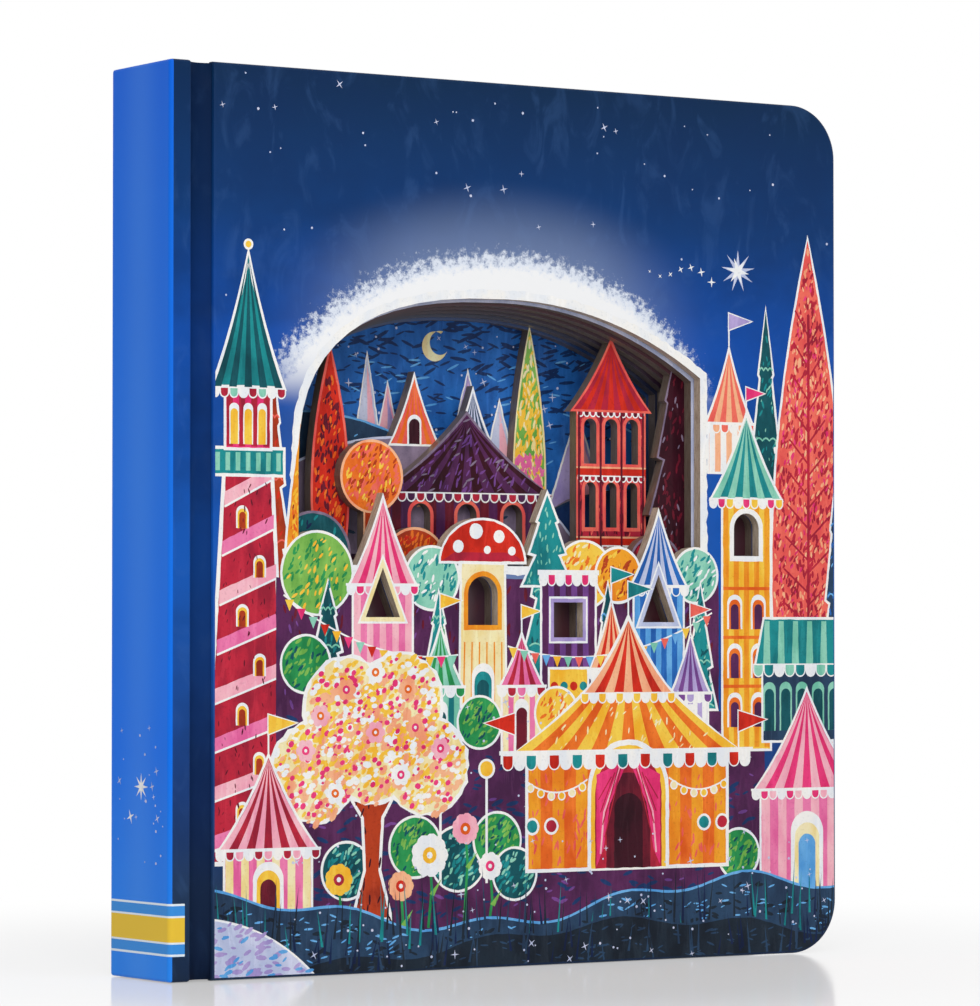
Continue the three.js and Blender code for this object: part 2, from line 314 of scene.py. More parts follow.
class Tree:
    """A node tree, and short ways to add nodes to it."""

    def __init__(self, node_tree):
        self.nodes = node_tree.nodes
        self.links = node_tree.links

    def feed(self, socket, value):
        """Links a node's output to the socket, or sets a number, a vector or a hex colour."""
        if isinstance(value, bpy.types.NodeSocket):
            self.links.new(value, socket)
        elif value is not None:
            socket.default_value = linear(value) if isinstance(value, str) else value

    def node(self, kind, outputs=0, settings=None, **inputs):
        made = self.nodes.new(kind)
        for key, value in (settings or {}).items():
            setattr(made, key, value)
        for key, value in inputs.items():
            self.feed(made.inputs[key.replace("_", " ")], value)
        return made.outputs[outputs]

    def math(self, operation, a, b=None, c=None):
        made = self.node("ShaderNodeMath", 0, {"operation": operation})
        for socket, value in zip(made.node.inputs, (a, b, c)):
            self.feed(socket, value)
        return made

    def times(self, first, *others):
        for other in others:
            first = self.math("MULTIPLY", first, other)
        return first

    def rest(self, value):
        return self.math("SUBTRACT", 1.0, value)

    def mix(self, factor, a, b):
        made = self.node("ShaderNodeMix", 2, {"data_type": "RGBA"}, Factor=factor)
        self.feed(made.node.inputs[6], a)
        self.feed(made.node.inputs[7], b)
        return made

    def over(self, base, colour, *masks):
        """Lays a colour over the base, as strongly as the masks say together."""
        return self.mix(self.times(*masks), base, colour)

    def ramp(self, factor, stops, interpolation="LINEAR"):
        made = self.nodes.new("ShaderNodeValToRGB")
        made.color_ramp.interpolation = interpolation
        elements = made.color_ramp.elements
        while len(elements) < len(stops):
            elements.new(0.5)
        for element, (position, colour) in zip(elements, stops):
            element.position = position
            element.color = linear(colour)
        self.feed(made.inputs[0], factor)
        return made.outputs[0]

    def smooth(self, value, low, high):
        """0 at low and before it, 1 at high and past it, and a smooth step between."""
        settings = {"interpolation_type": "SMOOTHSTEP"}
        return self.node(
            "ShaderNodeMapRange", 0, settings, Value=value, From_Min=low, From_Max=high
        )

    def between(self, value, low, high):
        above = self.math("GREATER_THAN", value, low)
        return self.times(above, self.math("LESS_THAN", value, high))


class Paint(Tree):
    """A material with its node tree, and what the materials of this book have in common."""

    def __init__(self, name):
        self.material = bpy.data.materials.new(name)
        self.material.use_nodes = True
        super().__init__(self.material.node_tree)
        self.shader = self.nodes["Principled BSDF"]
        self.coordinates = self.nodes.new("ShaderNodeTexCoord")

    def noise(self, scale, detail=3.0, stretch=(1, 1, 1), distortion=0.0, roughness=0.55):
        place = self.coordinates.outputs["Object"]
        mapped = self.node("ShaderNodeMapping", Vector=place, Scale=stretch)
        return self.node(
            "ShaderNodeTexNoise",
            Vector=mapped,
            Scale=scale,
            Detail=detail,
            Roughness=roughness,
            Distortion=distortion,
        )

    def patches(self, low, high, *noise):
        """Soft patches where a noise is above its middle."""
        return self.smooth(self.noise(*noise), low, high)

    def place(self):
        """Across from the spine edge and up from the tail edge in millimetres, and raw depth."""
        split = self.nodes.new("ShaderNodeSeparateXYZ")
        self.links.new(self.coordinates.outputs["Object"], split.inputs[0])
        across = self.math("MULTIPLY_ADD", split.outputs[0], 1 / MM, -SPINE_EDGE / MM)
        up = self.math("MULTIPLY", split.outputs[2], 1 / MM)
        return across, up, split.outputs[1]

    def facing(self):
        """1 on faces that look to the front or the back, 0 on the cut edges."""
        split = self.nodes.new("ShaderNodeSeparateXYZ")
        self.links.new(self.coordinates.outputs["Normal"], split.inputs[0])
        return self.math("GREATER_THAN", self.math("ABSOLUTE", split.outputs[1]), 0.5)

    def gloss(self, roughness, coat, coat_roughness, grain_scale, grain):
        self.shader.inputs["Roughness"].default_value = roughness
        self.shader.inputs["Coat Weight"].default_value = coat
        self.shader.inputs["Coat Roughness"].default_value = coat_roughness
        height = self.noise(grain_scale, 2)
        bumped = self.node("ShaderNodeBump", Height=height, Strength=grain, Distance=GRAIN_DEPTH)
        self.links.new(bumped, self.shader.inputs["Normal"])

    def laminated(self, colour, roughness=0.4, coat=0.09):
        """The material with this colour under a glossy film, with fine paper grain."""
        self.feed(self.shader.inputs["Base Color"], colour)
        self.shader.inputs["Specular IOR Level"].default_value = 0.05
        self.gloss(roughness, coat, 0.09, 900, 0.12)
        return self.material


def ink_material(name):
    """One painted colour: mottled between two tones, with dry brush strokes and fine speckle."""
    light, dark = (linear(value) for value in INKS[name])
    paler = tuple(min(1.0, c * 1.22 + 0.012) for c in light[:3]) + (1.0,)
    darker = tuple(c * 0.72 for c in dark[:3]) + (1.0,)
    paint = Paint("print_" + name)
    mottle = paint.patches(0.36, 0.66, 170, 4, (1, 1, 0.55))
    strokes = paint.patches(0.5, 0.7, 420, 3, (1, 1, 0.16), 1.2)
    speckle = paint.patches(0.56, 0.7, 1500, 2)
    colour = paint.mix(mottle, light, dark)
    colour = paint.over(colour, paler, strokes, 0.45)
    return paint.laminated(paint.over(colour, darker, speckle, 0.3))


made_inks = {}


def ink(name):
    if name not in made_inks:
        made_inks[name] = ink_material(name)
    return made_inks[name]


def raw_board(paint):
    """Grey board at a cut edge: fine plies along the sheet, and some fibre."""
    plies = paint.noise(300, 3, (1, 14, 1))
    board = paint.ramp(plies, [(0.3, "#8a7a6c"), (0.5, "#b5a592"), (0.7, "#cdbfae")])
    return paint.over(board, "#6f6054", paint.patches(0.5, 0.75, 1600, 3), 0.35)


# Colours by the share of the book's height
FRONT_SKY = [(0.0, "#1c2b3e"), (0.1, "#22395a"), (0.2, "#1c3f7c"), (0.45, "#1558b4")]
FRONT_SKY += [(0.7, "#114eaa"), (0.84, "#0d3a74"), (1.0, "#0a2a4c")]
BACK_SKY = [(0.0, "#16336c"), (0.45, "#1c4ea6"), (0.75, "#1a449a"), (1.0, "#10264a")]
SPINE_BLUES = [(0.0, "#2f8ff6"), (0.25, "#0e78f6"), (0.55, "#1a76ea"), (0.85, "#126ee4")]
SPINE_BLUES += [(1.0, "#0d66e0")]

# The plain stripes round the spine's foot, each from a height in millimetres
SPINE_BANDS = [(0.0, "#4b9ae6"), (5.8, "#e8f2f8"), (6.3, "#3f93e2"), (8.6, "#e8f2f8")]
SPINE_BANDS += [(9.0, "#eec63f"), (14.6, "#e8f2f8"), (15.0, "#3f93e2"), (17.3, "#e8f2f8")]
SPINE_BANDS += [(17.8, "#3f8ddc")]
BANDS_REACH = 4.0
SPINE_ROUNDING = 0.8

# The printed grounds of the leaves' faces, from the front on
LEAF_TONES = ["#27508c", "#451824", "#381624", "#2c1428", "#1f2440", "#1f3f72", "#1c5c9c", "#2458a8"]

# The left, right, low and high bounds of the cover's cut edges. Where the painted shade in the tunnel
# begins and is full, from the left, the right, below and above. Where the frosted arch's foot fades
# out.
CUT_PART = (25, 175, 60, 175)
TUNNEL_SHADE_EDGES = ((26, 30), (174, 171), (66, 70), (164, 160))
ARCH_FADE = (131, 147)


def mottled_sky(paint, up, stops, cloud, strength):
    sky = paint.ramp(paint.math("DIVIDE", up, BOOK_HEIGHT), stops)
    return paint.over(sky, cloud, paint.patches(0.35, 0.7, 38, 5, (1, 1, 1.4)), strength)


def sky_colour(paint, across, up):
    """The cover's night sky: dark at the head, royal blue lower down, a grey haze of printed glow and
    painted sheen and a frosted white arch round the window, and dark ground at the tail."""
    sky = mottled_sky(paint, up, FRONT_SKY, "#0b2a58", 0.4)
    sky = paint.over(sky, "#5480c0", paint.patches(0.5, 0.72, 120, 5, (1, 1, 0.5), 1.5), 0.1)
    aside = paint.math("SUBTRACT", across, ARCH_CENTRE)
    right_side = paint.math("GREATER_THAN", aside, 0.0)
    reach_change = ARCH_RIGHT_REACH - ARCH_LEFT_REACH
    reach = paint.math("MULTIPLY_ADD", right_side, reach_change, ARCH_LEFT_REACH)
    aside = paint.math("DIVIDE", aside, reach)
    above = paint.math("DIVIDE", paint.math("SUBTRACT", up, ARCH_SPRING), ARCH_RISE)
    arch_share = paint.math("ADD", paint.times(aside, aside), paint.times(above, above))
    low_fade = paint.smooth(up, *ARCH_FADE)
    # Printed glow and painted sheen: a grey haze round the arch and above it, fading out to the sides
    haze_and_sheen = paint.rest(paint.smooth(arch_share, 0.9, 1.9))
    narrow = paint.smooth(paint.math("ABSOLUTE", aside), 1.0, 0.3)
    sky = paint.over(sky, "#8798b8", haze_and_sheen, narrow, 0.6)
    frost = paint.noise(620, 4, (1, 1, 1), 0.0, 0.78)
    frost = paint.math("MULTIPLY_ADD", frost, 0.62, -0.31)
    frosted = paint.rest(paint.smooth(paint.math("ADD", arch_share, frost), 0.93, 1.08))
    sky = paint.over(sky, "#dfe6f2", frosted, low_fade)
    core = paint.rest(paint.smooth(paint.math("MULTIPLY_ADD", frost, 0.4, arch_share), 0.86, 0.95))
    return paint.over(sky, "#f4f5f6", core, low_fade)


def lining(paint):
    return paint.ramp(paint.patches(0.3, 0.7, 60, 4), [(0.0, "#2c5fa8"), (1.0, "#244f92")])


def front_cover_material():
    paint = Paint("front_cover_paper")
    across, up, depth = paint.place()
    outside = paint.math("LESS_THAN", depth, FRONT_FACE + PAPER_TURN)
    printed = paint.mix(outside, lining(paint), sky_colour(paint, across, up))
    left, right, low, high = CUT_PART
    cut_part = paint.times(paint.between(across, left, right), paint.between(up, low, high))
    cut_edge = paint.times(cut_part, paint.rest(paint.facing()))
    return paint.laminated(paint.mix(cut_edge, printed, raw_board(paint)))


def back_cover_material():
    paint = Paint("back_cover_paper")
    _, up, depth = paint.place()
    outside = paint.math("GREATER_THAN", depth, BACK_FACE - PAPER_TURN)
    sky = mottled_sky(paint, up, BACK_SKY, "#16305f", 0.35)
    return paint.laminated(paint.mix(outside, lining(paint), sky))


def spine_material():
    """The spine: a glossy blue that pales towards the tail, with a painted highlight down its middle,
    and a ribbon of plain stripes.
    """
    paint = Paint("spine_paper")
    across, up, depth = paint.place()
    blue = paint.ramp(paint.math("DIVIDE", up, BOOK_HEIGHT), SPINE_BLUES)
    blue = paint.over(blue, "#1a68dc", paint.patches(0.35, 0.7, 30, 4, (1, 1, 0.5)), 0.25)
    # Painted highlight: a pale band down the middle of the spine, fading out towards both covers
    from_middle = paint.math("ABSOLUTE", paint.math("DIVIDE", depth, BACK_FACE))
    blue = paint.over(blue, "#7ab6f4", paint.smooth(from_middle, 0.75, 0.0), 0.12)
    bands_foot, bands_head = SPINE_BANDS[1][0], SPINE_BANDS[-1][0]
    ramp_length = bands_head * 1.05
    stops = [(height / ramp_length, colour) for height, colour in SPINE_BANDS]
    stripes = paint.ramp(paint.math("DIVIDE", up, ramp_length), stops, "CONSTANT")
    on_shoulder = paint.math("GREATER_THAN", across, SPINE_ROUNDING)
    colour = paint.mix(on_shoulder, blue, sky_colour(paint, across, up))
    banded = paint.between(up, bands_foot, bands_head)
    colour = paint.over(colour, stripes, banded, paint.math("LESS_THAN", across, BANDS_REACH))
    return paint.laminated(colour, 0.36, 0.05)


def hinge_material():
    paint = Paint("hinge_paper")
    across, up, _ = paint.place()
    # Painted shade of the groove: the cover's sky is mixed 0.6 of the way towards near-black navy
    return paint.laminated(paint.mix(0.6, sky_colour(paint, across, up), "#06122e"), 0.6, 0.0)


def leaf_material():
    """The leaves: each printed face has its own ground colour, and each cut edge is raw board,
    which is darkened inside the tunnel with painted shade."""
    paint = Paint("leaf_paper")
    across, up, depth = paint.place()
    behind_front = paint.math("SUBTRACT", depth, BLOCK_FRONT - LEAF_THICKNESS / 2)
    share = paint.math("DIVIDE", behind_front, BLOCK_BACK - BLOCK_FRONT)
    stops = [(i / LEAF_COUNT, tone) for i, tone in enumerate(LEAF_TONES)]
    ground = paint.ramp(share, stops, "CONSTANT")
    ground = paint.over(ground, "#1a2340", paint.patches(0.35, 0.7, 90, 5, (1, 1, 0.6)), 0.4)
    sides = (across, across, up, up)
    in_tunnel = [paint.smooth(side, *edge) for side, edge in zip(sides, TUNNEL_SHADE_EDGES)]
    # Painted shade: the raw board of the cut edges turns towards dark brown inside the tunnel
    shaded_board = paint.over(raw_board(paint), "#33211d", *in_tunnel, 0.72)
    paint.feed(paint.shader.inputs["Base Color"], paint.mix(paint.facing(), shaded_board, ground))
    paint.gloss(0.4, 0.25, 0.15, 1100, 0.15)
    return paint.material


# Print


def inside_polygon(outline, points):
    """Which of the points lie inside the outline, as an array of True and False."""
    x, y = points[:, 0], points[:, 1]
    inside = np.zeros(len(points), dtype=bool)
    for (x0, y0), (x1, y1) in zip(outline, outline[1:] + outline[:1]):
        if y0 == y1:
            continue
        crosses = (y0 > y) != (y1 > y)
        inside ^= crosses & (x < (x1 - x0) * (y - y0) / (y1 - y0) + x0)
    return inside


def scatter(seed, region, count):
    """A seeded generator, and the spots that it strews over the region."""
    draw = np.random.default_rng(seed)
    corners = np.array(region)
    spots = draw.uniform(corners.min(axis=0), corners.max(axis=0), (count, 2))
    return draw, spots[inside_polygon(region, spots)]


def join_flat_faces(mesh):
    """Joins neighbouring faces of one colour, and splits them into as few triangles as will do."""
    work = bmesh.new()
    work.from_mesh(mesh)
    bmesh.ops.dissolve_limit(
        work, angle_limit=math.radians(1), verts=work.verts, edges=work.edges, delimit={"MATERIAL"}
    )
    bmesh.ops.triangulate(work, faces=work.faces)
    work.to_mesh(mesh)
    work.free()
    mesh.update()


def planar_map(loops):
    """Cuts the plane along all the loops. Gives the corners, the triangles between them and the
    triangles' middles, from left to right."""
    points, edges = [], []
    for loop in loops:
        first = len(points)
        points += [Vector(point) for point in loop]
        edges += [(first + i, first + (i + 1) % len(loop)) for i in range(len(loop))]
    points, _, triangles, *_ = delaunay_2d_cdt(points, edges, [], 0, MERGE_DISTANCE, False)
    corners = np.array([tuple(point) for point in points])
    triangles = np.array(triangles)
    middles = corners[triangles].mean(axis=1)
    order = np.argsort(middles[:, 0])
    return corners, triangles[order], middles[order]


def covered(outline, middles):
    """The numbers of the middles inside the outline, where the middles run from left to right."""
    across, up = zip(*outline)
    first, last = np.searchsorted(middles[:, 0], (min(across), max(across)))
    level = middles[first:last, 1]
    near = first + np.nonzero((level >= min(up)) & (level <= max(up)))[0]
    return near[inside_polygon(outline, middles[near])]


def made_mesh(name, vertices, faces, materials):
    mesh = bpy.data.meshes.new(name)
    mesh.from_pydata(vertices, [], faces)
    for material in materials:
        mesh.materials.append(material)
    return mesh


def placed(name, data):
    """A new object of the scene that holds the data."""
    made = bpy.data.objects.new(name, data)
    bpy.context.scene.collection.objects.link(made)
    return made


class Print:
    """The print on one face. Its shapes are painted one over another, and at the end they become
    one flat mesh in which each spot has the colour of the topmost shape there. The mask is a list
    of outlines, each printed or left open over those before it, and the first bounds them all."""

    def __init__(self, name, body, slot, place, mask):
        self.name = name
        self.body = body
        self.slot = slot
        self.place = place
        self.mask = mask
        self.shapes = []

    def paint(self, outline, colour):
        if len(outline) > 2:
            self.shapes.append((outline, colour))

    def chalk(self, outline, colour, amount=0.16):
        self.paint(drawn_by_hand(outline, amount), colour)

    def sticker(self, outline, colour, rim=RIM, rim_colour="white"):
        """A shape with a painted outline inside its edge."""
        self.paint(outline, rim_colour)
        self.chalk(offset(outline, -rim), colour)

    def line(self, points, width, colour):
        left, right = [], []
        for i, point in enumerate(points):
            before = Vector(points[max(i - 1, 0)])
            after = Vector(points[min(i + 1, len(points) - 1)])
            direction = (after - before).normalized()
            normal = Vector((-direction.y, direction.x)) * width / 2
            left.append((point[0] + normal.x, point[1] + normal.y))
            right.append((point[0] - normal.x, point[1] - normal.y))
        self.paint(right + left[::-1], colour)

    def dabs(self, region, colour, count, size, seed, lean, slim):
        """Small brush marks scattered over a region, most of them leaning one way."""
        draw, spots = scatter(seed, region, count)
        for x, y in spots.tolist():
            length = size * draw.uniform(0.5, 1.2)
            angle = math.radians(lean + draw.uniform(-30, 30))
            cosine, sine = math.cos(angle) * length, math.sin(angle) * length
            mark = [
                (x + a * cosine - b * slim * sine, y + a * sine + b * slim * cosine)
                for a, b in disc(0, 0, 0.5, 7)
            ]
            self.paint(mark, colour)

    def brush(self, region, seed, *marks):
        """Several kinds of dabs over one region, each a colour, count, size, lean and slimness."""
        for i, (colour, count, size, lean, slim) in enumerate(marks):
            self.dabs(region, colour, count, size, seed + i, lean, slim)

    def finish(self):
        loops = [outline for outline, _ in self.mask + self.shapes]
        corners, triangles, middles = planar_map(loops)
        allowed = np.zeros(len(triangles), dtype=bool)
        for outline, printed in self.mask:
            allowed[covered(outline, middles)] = printed
        on_board = np.zeros(len(triangles), dtype=bool)
        on_board[covered(self.mask[0][0], middles)] = True
        names = sorted({colour for _, colour in self.shapes})
        colours = np.full(len(triangles), -1)
        for outline, colour in self.shapes:
            colours[covered(outline, middles)] = names.index(colour)
        kept = allowed & on_board & (colours >= 0)
        used, faces = np.unique(triangles[kept], return_inverse=True)
        vertices = [self.place(x, y) for x, y in corners[used].tolist()]
        materials = [ink(name) for name in names]
        mesh = made_mesh(self.name, vertices, faces.reshape(-1, 3).tolist(), materials)
        mesh.polygons.foreach_set("material_index", colours[kept])
        join_flat_faces(mesh)
        piece = placed(self.name, mesh)
        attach(piece, self.body)


def on_front(face):
    return lambda x, y: (SPINE_EDGE + x * MM, face - INK, y * MM)


def on_back(face):
    """On a face that looks to the back, drawn as seen from there, from the fore-edge on."""
    return lambda x, y: (SPINE_EDGE + (BOOK_WIDTH - x) * MM, face + INK, y * MM)


def on_spine(x, y):
    """On the spine, drawn as seen from there, from the back cover on."""
    return (SPINE_EDGE - INK, BACK_FACE - x * MM, y * MM)


# Motifs


def roof_stripes(page, left, right, foot, peak, colour, stripes):
    """Stripes that run from a tent roof's foot to its peak and narrow with it."""
    middle = (left + right) / 2
    left, right = left + RIM * 1.8, right - RIM * 1.8
    foot, peak = foot + RIM, peak - RIM * 3
    rise = foot + (peak - foot) * SLACK

    def edge(share):
        x = left + (right - left) * share
        bend = (middle + (x - middle) * SLACK, rise)
        return [(x, foot), *curve((x, foot), bend, (middle, peak), 8)]

    for i in range(0, stripes, 2):
        page.paint(edge(i / stripes)[:-1][::-1] + edge((i + 1) / stripes), colour)


def striped_roof(page, left, right, foot, peak, colours, stripes, rim=RIM):
    page.sticker(tent(left, right, foot, peak), colours[0], rim)
    roof_stripes(page, left, right, foot, peak, colours[1], stripes)


def wall_stripes(page, centre, sill, width, height, colour, stripes):
    pitch = width / stripes
    for i in range(0, stripes, 2):
        middle = centre - width / 2 + pitch * (i + 0.5)
        page.chalk(rectangle(middle, sill, pitch, height), colour, 0.1)


def striped_wall(page, centre, sill, width, height, colours, stripes, rim=RIM, inset=1.5):
    page.sticker(rectangle(centre, sill, width, height), colours[0], rim)
    wall_stripes(page, centre, sill + 1, width - inset, height - 2, colours[1], stripes)


def valance(page, left, right, height, drop, colours, scallops):
    """A scalloped strip that hangs from a roof's edge."""
    pitch = (right - left) / scallops
    for i in range(scallops):
        x = left + pitch * (i + 0.5)
        scallop = arc(x, height - drop * 0.5, pitch / 2, 180, 360, 10)
        outline = [*scallop, (x + pitch / 2, height), (x - pitch / 2, height)]
        page.paint(outline, "white")
        page.chalk(offset(outline, -0.32), colours[i % len(colours)], 0.06)


def flag(page, x, y, height, colour, way=1):
    page.line([(x, y), (x, y + height)], 0.45, "white")
    pennant = [(x, y + height), (x + way * height * 0.85, y + height * 0.78), (x, y + height * 0.5)]
    page.paint(offset(pennant[:: -way], 0.3), "white")
    page.paint(pennant, colour)


def doorway(page, centre, sill, width, height, colours):
    """Archways one inside another."""
    for i, colour in enumerate(colours):
        outline = archway(centre, sill, width * (1 - 0.24 * i), height * (1 - 0.14 * i))
        page.chalk(outline, colour, 0.1)


def striped_tent(
    page, left, right, foot, eaves, peak, wall, roof, door=None, stripes=9, pennant=None
):
    """A tent with a striped wall and roof. The wall and the roof are each a pair of colours."""
    middle, overhang = (left + right) / 2, (right - left) * 0.07
    width = right - left - 2 * overhang
    page.sticker(rectangle(middle, foot, width, eaves - foot + 1), wall[0])
    wall_stripes(page, middle, foot + RIM, width - 2.2 * RIM, eaves - foot - RIM, wall[1], stripes)
    if door:
        doorway(page, middle, foot + 0.4, width * 0.34, (eaves - foot) * 0.84, door)
    striped_roof(page, left, right, eaves, peak, roof, stripes)
    scallops = max(5, round((right - left) / 2.6))
    valance(page, left, right, eaves + 0.4, 2.3, ("white", roof[0], roof[1]), scallops)
    page.line([(left - 0.2, eaves + 0.5), (right + 0.2, eaves + 0.5)], 0.6, "white")
    if pennant:
        flag(page, middle, peak - 0.5, (peak - eaves) * 0.3 + 2, pennant)


def fir_tree(page, centre, foot, half_width, height, tiers, colour, marks, snow, seed):
    """A fir with needles in a second colour and a wavy line of snow along each tier."""
    page.sticker(fir(centre, foot, half_width, height, tiers), colour)
    inner = fir(centre, foot + 1.5, half_width * 0.8, height * 0.94, tiers)
    count = int(half_width * height * 0.22)
    page.dabs(inner, marks, count, 1.9, seed, 78, 0.3)
    page.dabs(inner, snow, count // 3, 1.3, seed + 100, 70, 0.3)
    for i in range(tiers):
        low = foot + height * i / tiers + RIM + 0.5
        reach = half_width * (1 - i / (tiers + 0.6)) * 0.74
        shares = [j / 12 for j in range(13)]
        waves = [low + 0.7 * abs(math.sin(share * 9.4)) for share in shares]
        across = [centre - reach + 2 * reach * share for share in shares]
        page.line(list(zip(across, waves)), 0.42, snow)


def leafy_tree(page, outline, colour, marks, seed, lean=80, density=0.5, rim_colour="white"):
    """A crown of the given outline, full of leaf marks in two or more colours."""
    page.sticker(outline, colour, RIM, rim_colour)
    inner = offset(outline, -RIM * 2)
    count = int(abs(area(outline)) * density * 0.5)
    for i, mark in enumerate(marks):
        page.dabs(inner, mark, count // (i + 1), 2.1 - 0.3 * i, seed + 10 * i, lean, 0.36)


def daisy(page, x, y, radius, petal, heart, petals):
    for i in range(petals):
        angle = 2 * math.pi * i / petals
        centre = (x + radius * 0.6 * math.cos(angle), y + radius * 0.6 * math.sin(angle))
        page.paint(disc(*centre, radius * 0.4, 10), petal)
    page.chalk(disc(x, y, radius * 0.38, 12), heart, 0.1)
    page.paint(disc(x, y, radius * 0.16, 8), "white")


def garland(page, start, end, sag, colours, count, lamps=False):
    """A slack string with small flags or lamps along it."""
    points = []
    span, rise = end[0] - start[0], end[1] - start[1]
    for i in range(count * 2 + 1):
        share = i / (count * 2)
        y = start[1] + rise * share - sag * 4 * share * (1 - share)
        points.append((start[0] + span * share, y))
    page.line(points, 0.4, "white")
    for i in range(count):
        x, y = points[2 * i + 1]
        half = span / count * 0.38
        colour = colours[i % len(colours)]
        if lamps:
            page.paint(disc(x, y - 0.9, 1.15, 12), "white")
            page.paint(disc(x, y - 0.9, 0.8, 12), colour)
        else:
            page.paint([(x, y - half * 2.2), (x + half, y), (x - half, y)], colour)


def starry(page, seed, count, region, avoid=None):
    draw, spots = scatter(seed, region, count)
    if avoid:
        spots = spots[~inside_polygon(avoid, spots)]
    for x, y in spots.tolist():
        size = draw.choice([0.2, 0.25, 0.3, 0.35, 0.8, 1.2])
        if size > 0.6:
            page.paint(star(x, y, size, 4, 0.2, draw.uniform(0, 40)), "mist")
        else:
            page.paint(disc(x, y, size, 7), "mist")


# The window's outlines, as they are cut in the boards


def arch(inset):
    left, right = WINDOW_LEFT + inset, WINDOW_RIGHT - inset
    apex, right_height = WINDOW_APEX_HEIGHT - inset, WINDOW_RIGHT_HEIGHT - inset
    drop, run = apex - right_height, right - WINDOW_APEX
    radius = (run * run + drop * drop) / (2 * drop)
    start = 90 - math.degrees(math.asin(run / radius))
    points = [(right, WINDOW_FLOOR + inset), *arc(WINDOW_APEX, apex - radius, radius, start, 90, 14)]
    for i in range(1, 15):
        angle = math.pi / 2 * (1 - i / 14)
        across = (WINDOW_APEX - left) * math.cos(angle) ** (2 / ARCH_SQUARENESS)
        up = (apex - WINDOW_SPRING) * math.sin(angle) ** (2 / ARCH_SQUARENESS)
        points.append((WINDOW_APEX - across, WINDOW_SPRING + up))
    return [*points, (left, WINDOW_FLOOR + inset)]


def peepholes():
    width = PEEPHOLE_WIDTH / UNIT
    height = PEEPHOLE_HEIGHT / UNIT
    drawn = [
        triangle(20.1, -10.6, width * 1.12, height * 1.1),
        archway(44.5, -12.2, width, height * 1.1),
        rectangle(65.9, -14.8, width, height * 0.8),
        triangle(89.1, -11.6, width * 1.12, height * 1.1),
        archway(112.2, 2.6, width * 0.9, height),
    ]
    return [in_window(outline) for outline in drawn]


def cover_skyline():
    drawn = [
        disc(4.4, -1.7, 8.7),
        tent(11.4, 28.8, -4.4, 14.8),
        disc(32, -2.6, 6.8),
        toadstool(44.5, -4.4, 12.2, 21.8, 0.4, 10),
        fir(60.6, -4.4, 7, 20.5),
        disc(69.9, -1.7, 7.4),
        disc(78.6, -1.7, 6.1),
        tent(81.2, 97, -4.4, 12.7),
        disc(98.7, -1.7, 6.1),
    ]
    return [in_window(outline) for outline in drawn]


PANEL = board_outline(
    PANEL_LEFT + EDGE_ROUNDING,
    BOOK_WIDTH - EDGE_ROUNDING,
    EDGE_ROUNDING,
    BOOK_HEIGHT - EDGE_ROUNDING,
    CORNER_RADIUS - EDGE_ROUNDING,
)
LEAF = board_outline(3.4, BOOK_WIDTH - 3.2, 3.2, BOOK_HEIGHT - 3.2, CORNER_RADIUS - 3)


# The front cover's print


def cover_sky(page):
    glow = [
        (ARCH_CENTRE + (x - ARCH_CENTRE) * 1.2, WINDOW_SPRING + (y - WINDOW_SPRING) * 1.42)
        for x, y in arch(0)
    ]
    starry(page, 5, 130, rectangle(100, 92, 178, 116), glow)
    page.paint(star(160, 168, 5.2, 9, 0.3), "mist")
    page.paint(star(160, 168, 3.4, 6, 0.34, 20), "white")
    for i in range(7):
        height = 165 + 2.2 * math.sin(i * 0.9) + 0.6 * i
        page.paint(star(152 - 3.1 * i, height, 1.3 - 0.13 * i, 4, 0.25, 10 * i), "white")
    page.chalk(offset(arch(0), 2.1), "white", 0.5)


def helter_skelter(page):
    """A tapering slide tower at the left edge, with a spiral band and a pointed roof."""
    foot, top = 26, 116
    page.sticker([(8, foot), (32.5, foot), (27.4, top), (13.6, top)], "crimson", 1.0)
    for i in range(8):
        low = foot + 3 + 11.3 * i
        share = (low - foot) / (top - foot)
        left, right = 9.5 + 5.2 * share, 31.2 - 4.9 * share
        band = [(left, low), (right, low + 6.2), (right, low + 9.6), (left, low + 3.4)]
        page.chalk(band, ("pink", "blush")[i % 2])
        page.line([(left, low), (right, low + 6.2)], 0.5, "white")
        if i < 7:
            doorway(page, 19 + 4.6 * (i % 2), low + 6.4, 3.4, 5.2, ("white", "yellow", "rust"))
    page.dabs([(10, foot), (31, foot), (26.4, top), (14.6, top)], "maroon", 150, 1.4, 71, 88, 0.25)
    page.sticker(rectangle(20.5, top - 1, 20, 7), "teal", 0.7)
    for i in range(7):
        page.chalk(rectangle(12.4 + 2.7 * i, top + 0.4, 1.2, 4.2), "mint", 0.08)
    striped_wall(page, 20.5, top + 5, 13, 16, ("hot_pink", "crimson"), 7, 0.7, 1.6)
    for x in (16.8, 20.5, 24.2):
        doorway(page, x, top + 6.5, 2.6, 9.5, ("white", "yellow"))
    striped_roof(page, 10.2, 30.8, top + 19, top + 52, ("teal", "deep_teal"), 9, 1.0)
    valance(page, 10.4, 30.6, top + 19.6, 2.6, ("white", "crimson", "mint"), 8)
    page.paint(disc(20.5, top + 52.5, 1.3, 14), "white")
    page.paint(disc(20.5, top + 52.5, 0.8, 14), "yellow")


def left_trees(page):
    fir_tree(page, 27, 70, 8, 72, 5, "rust", "scarlet", "coral", 72)
    leafy_tree(page, poplar(34.5, 60, 5.2, 129), "amber", ("yellow", "orange", "rust"), 73)


def right_trees(page):
    fir_tree(page, 168.5, 56, 11, 104, 6, "deep_teal", "teal", "mint", 74)
    leafy_tree(page, poplar(181.5, 48, 12.5, 178), "coral", ("crimson", "peach", "hot_pink"), 75)
    page.line([(181.5, 52), (181.7, 158)], 0.8, "crimson")
    for i in range(11):
        y = 70 + 8 * i
        reach = 8.4 - 0.45 * i
        page.line([(181.6, y), (181.6 + reach, y + 6)], 0.5, "crimson")
        page.line([(181.5, y + 3), (181.5 - reach, y + 9)], 0.5, "crimson")
    fir_tree(page, 190.5, 52, 7, 70, 4, "slate", "blue", "sky", 76)


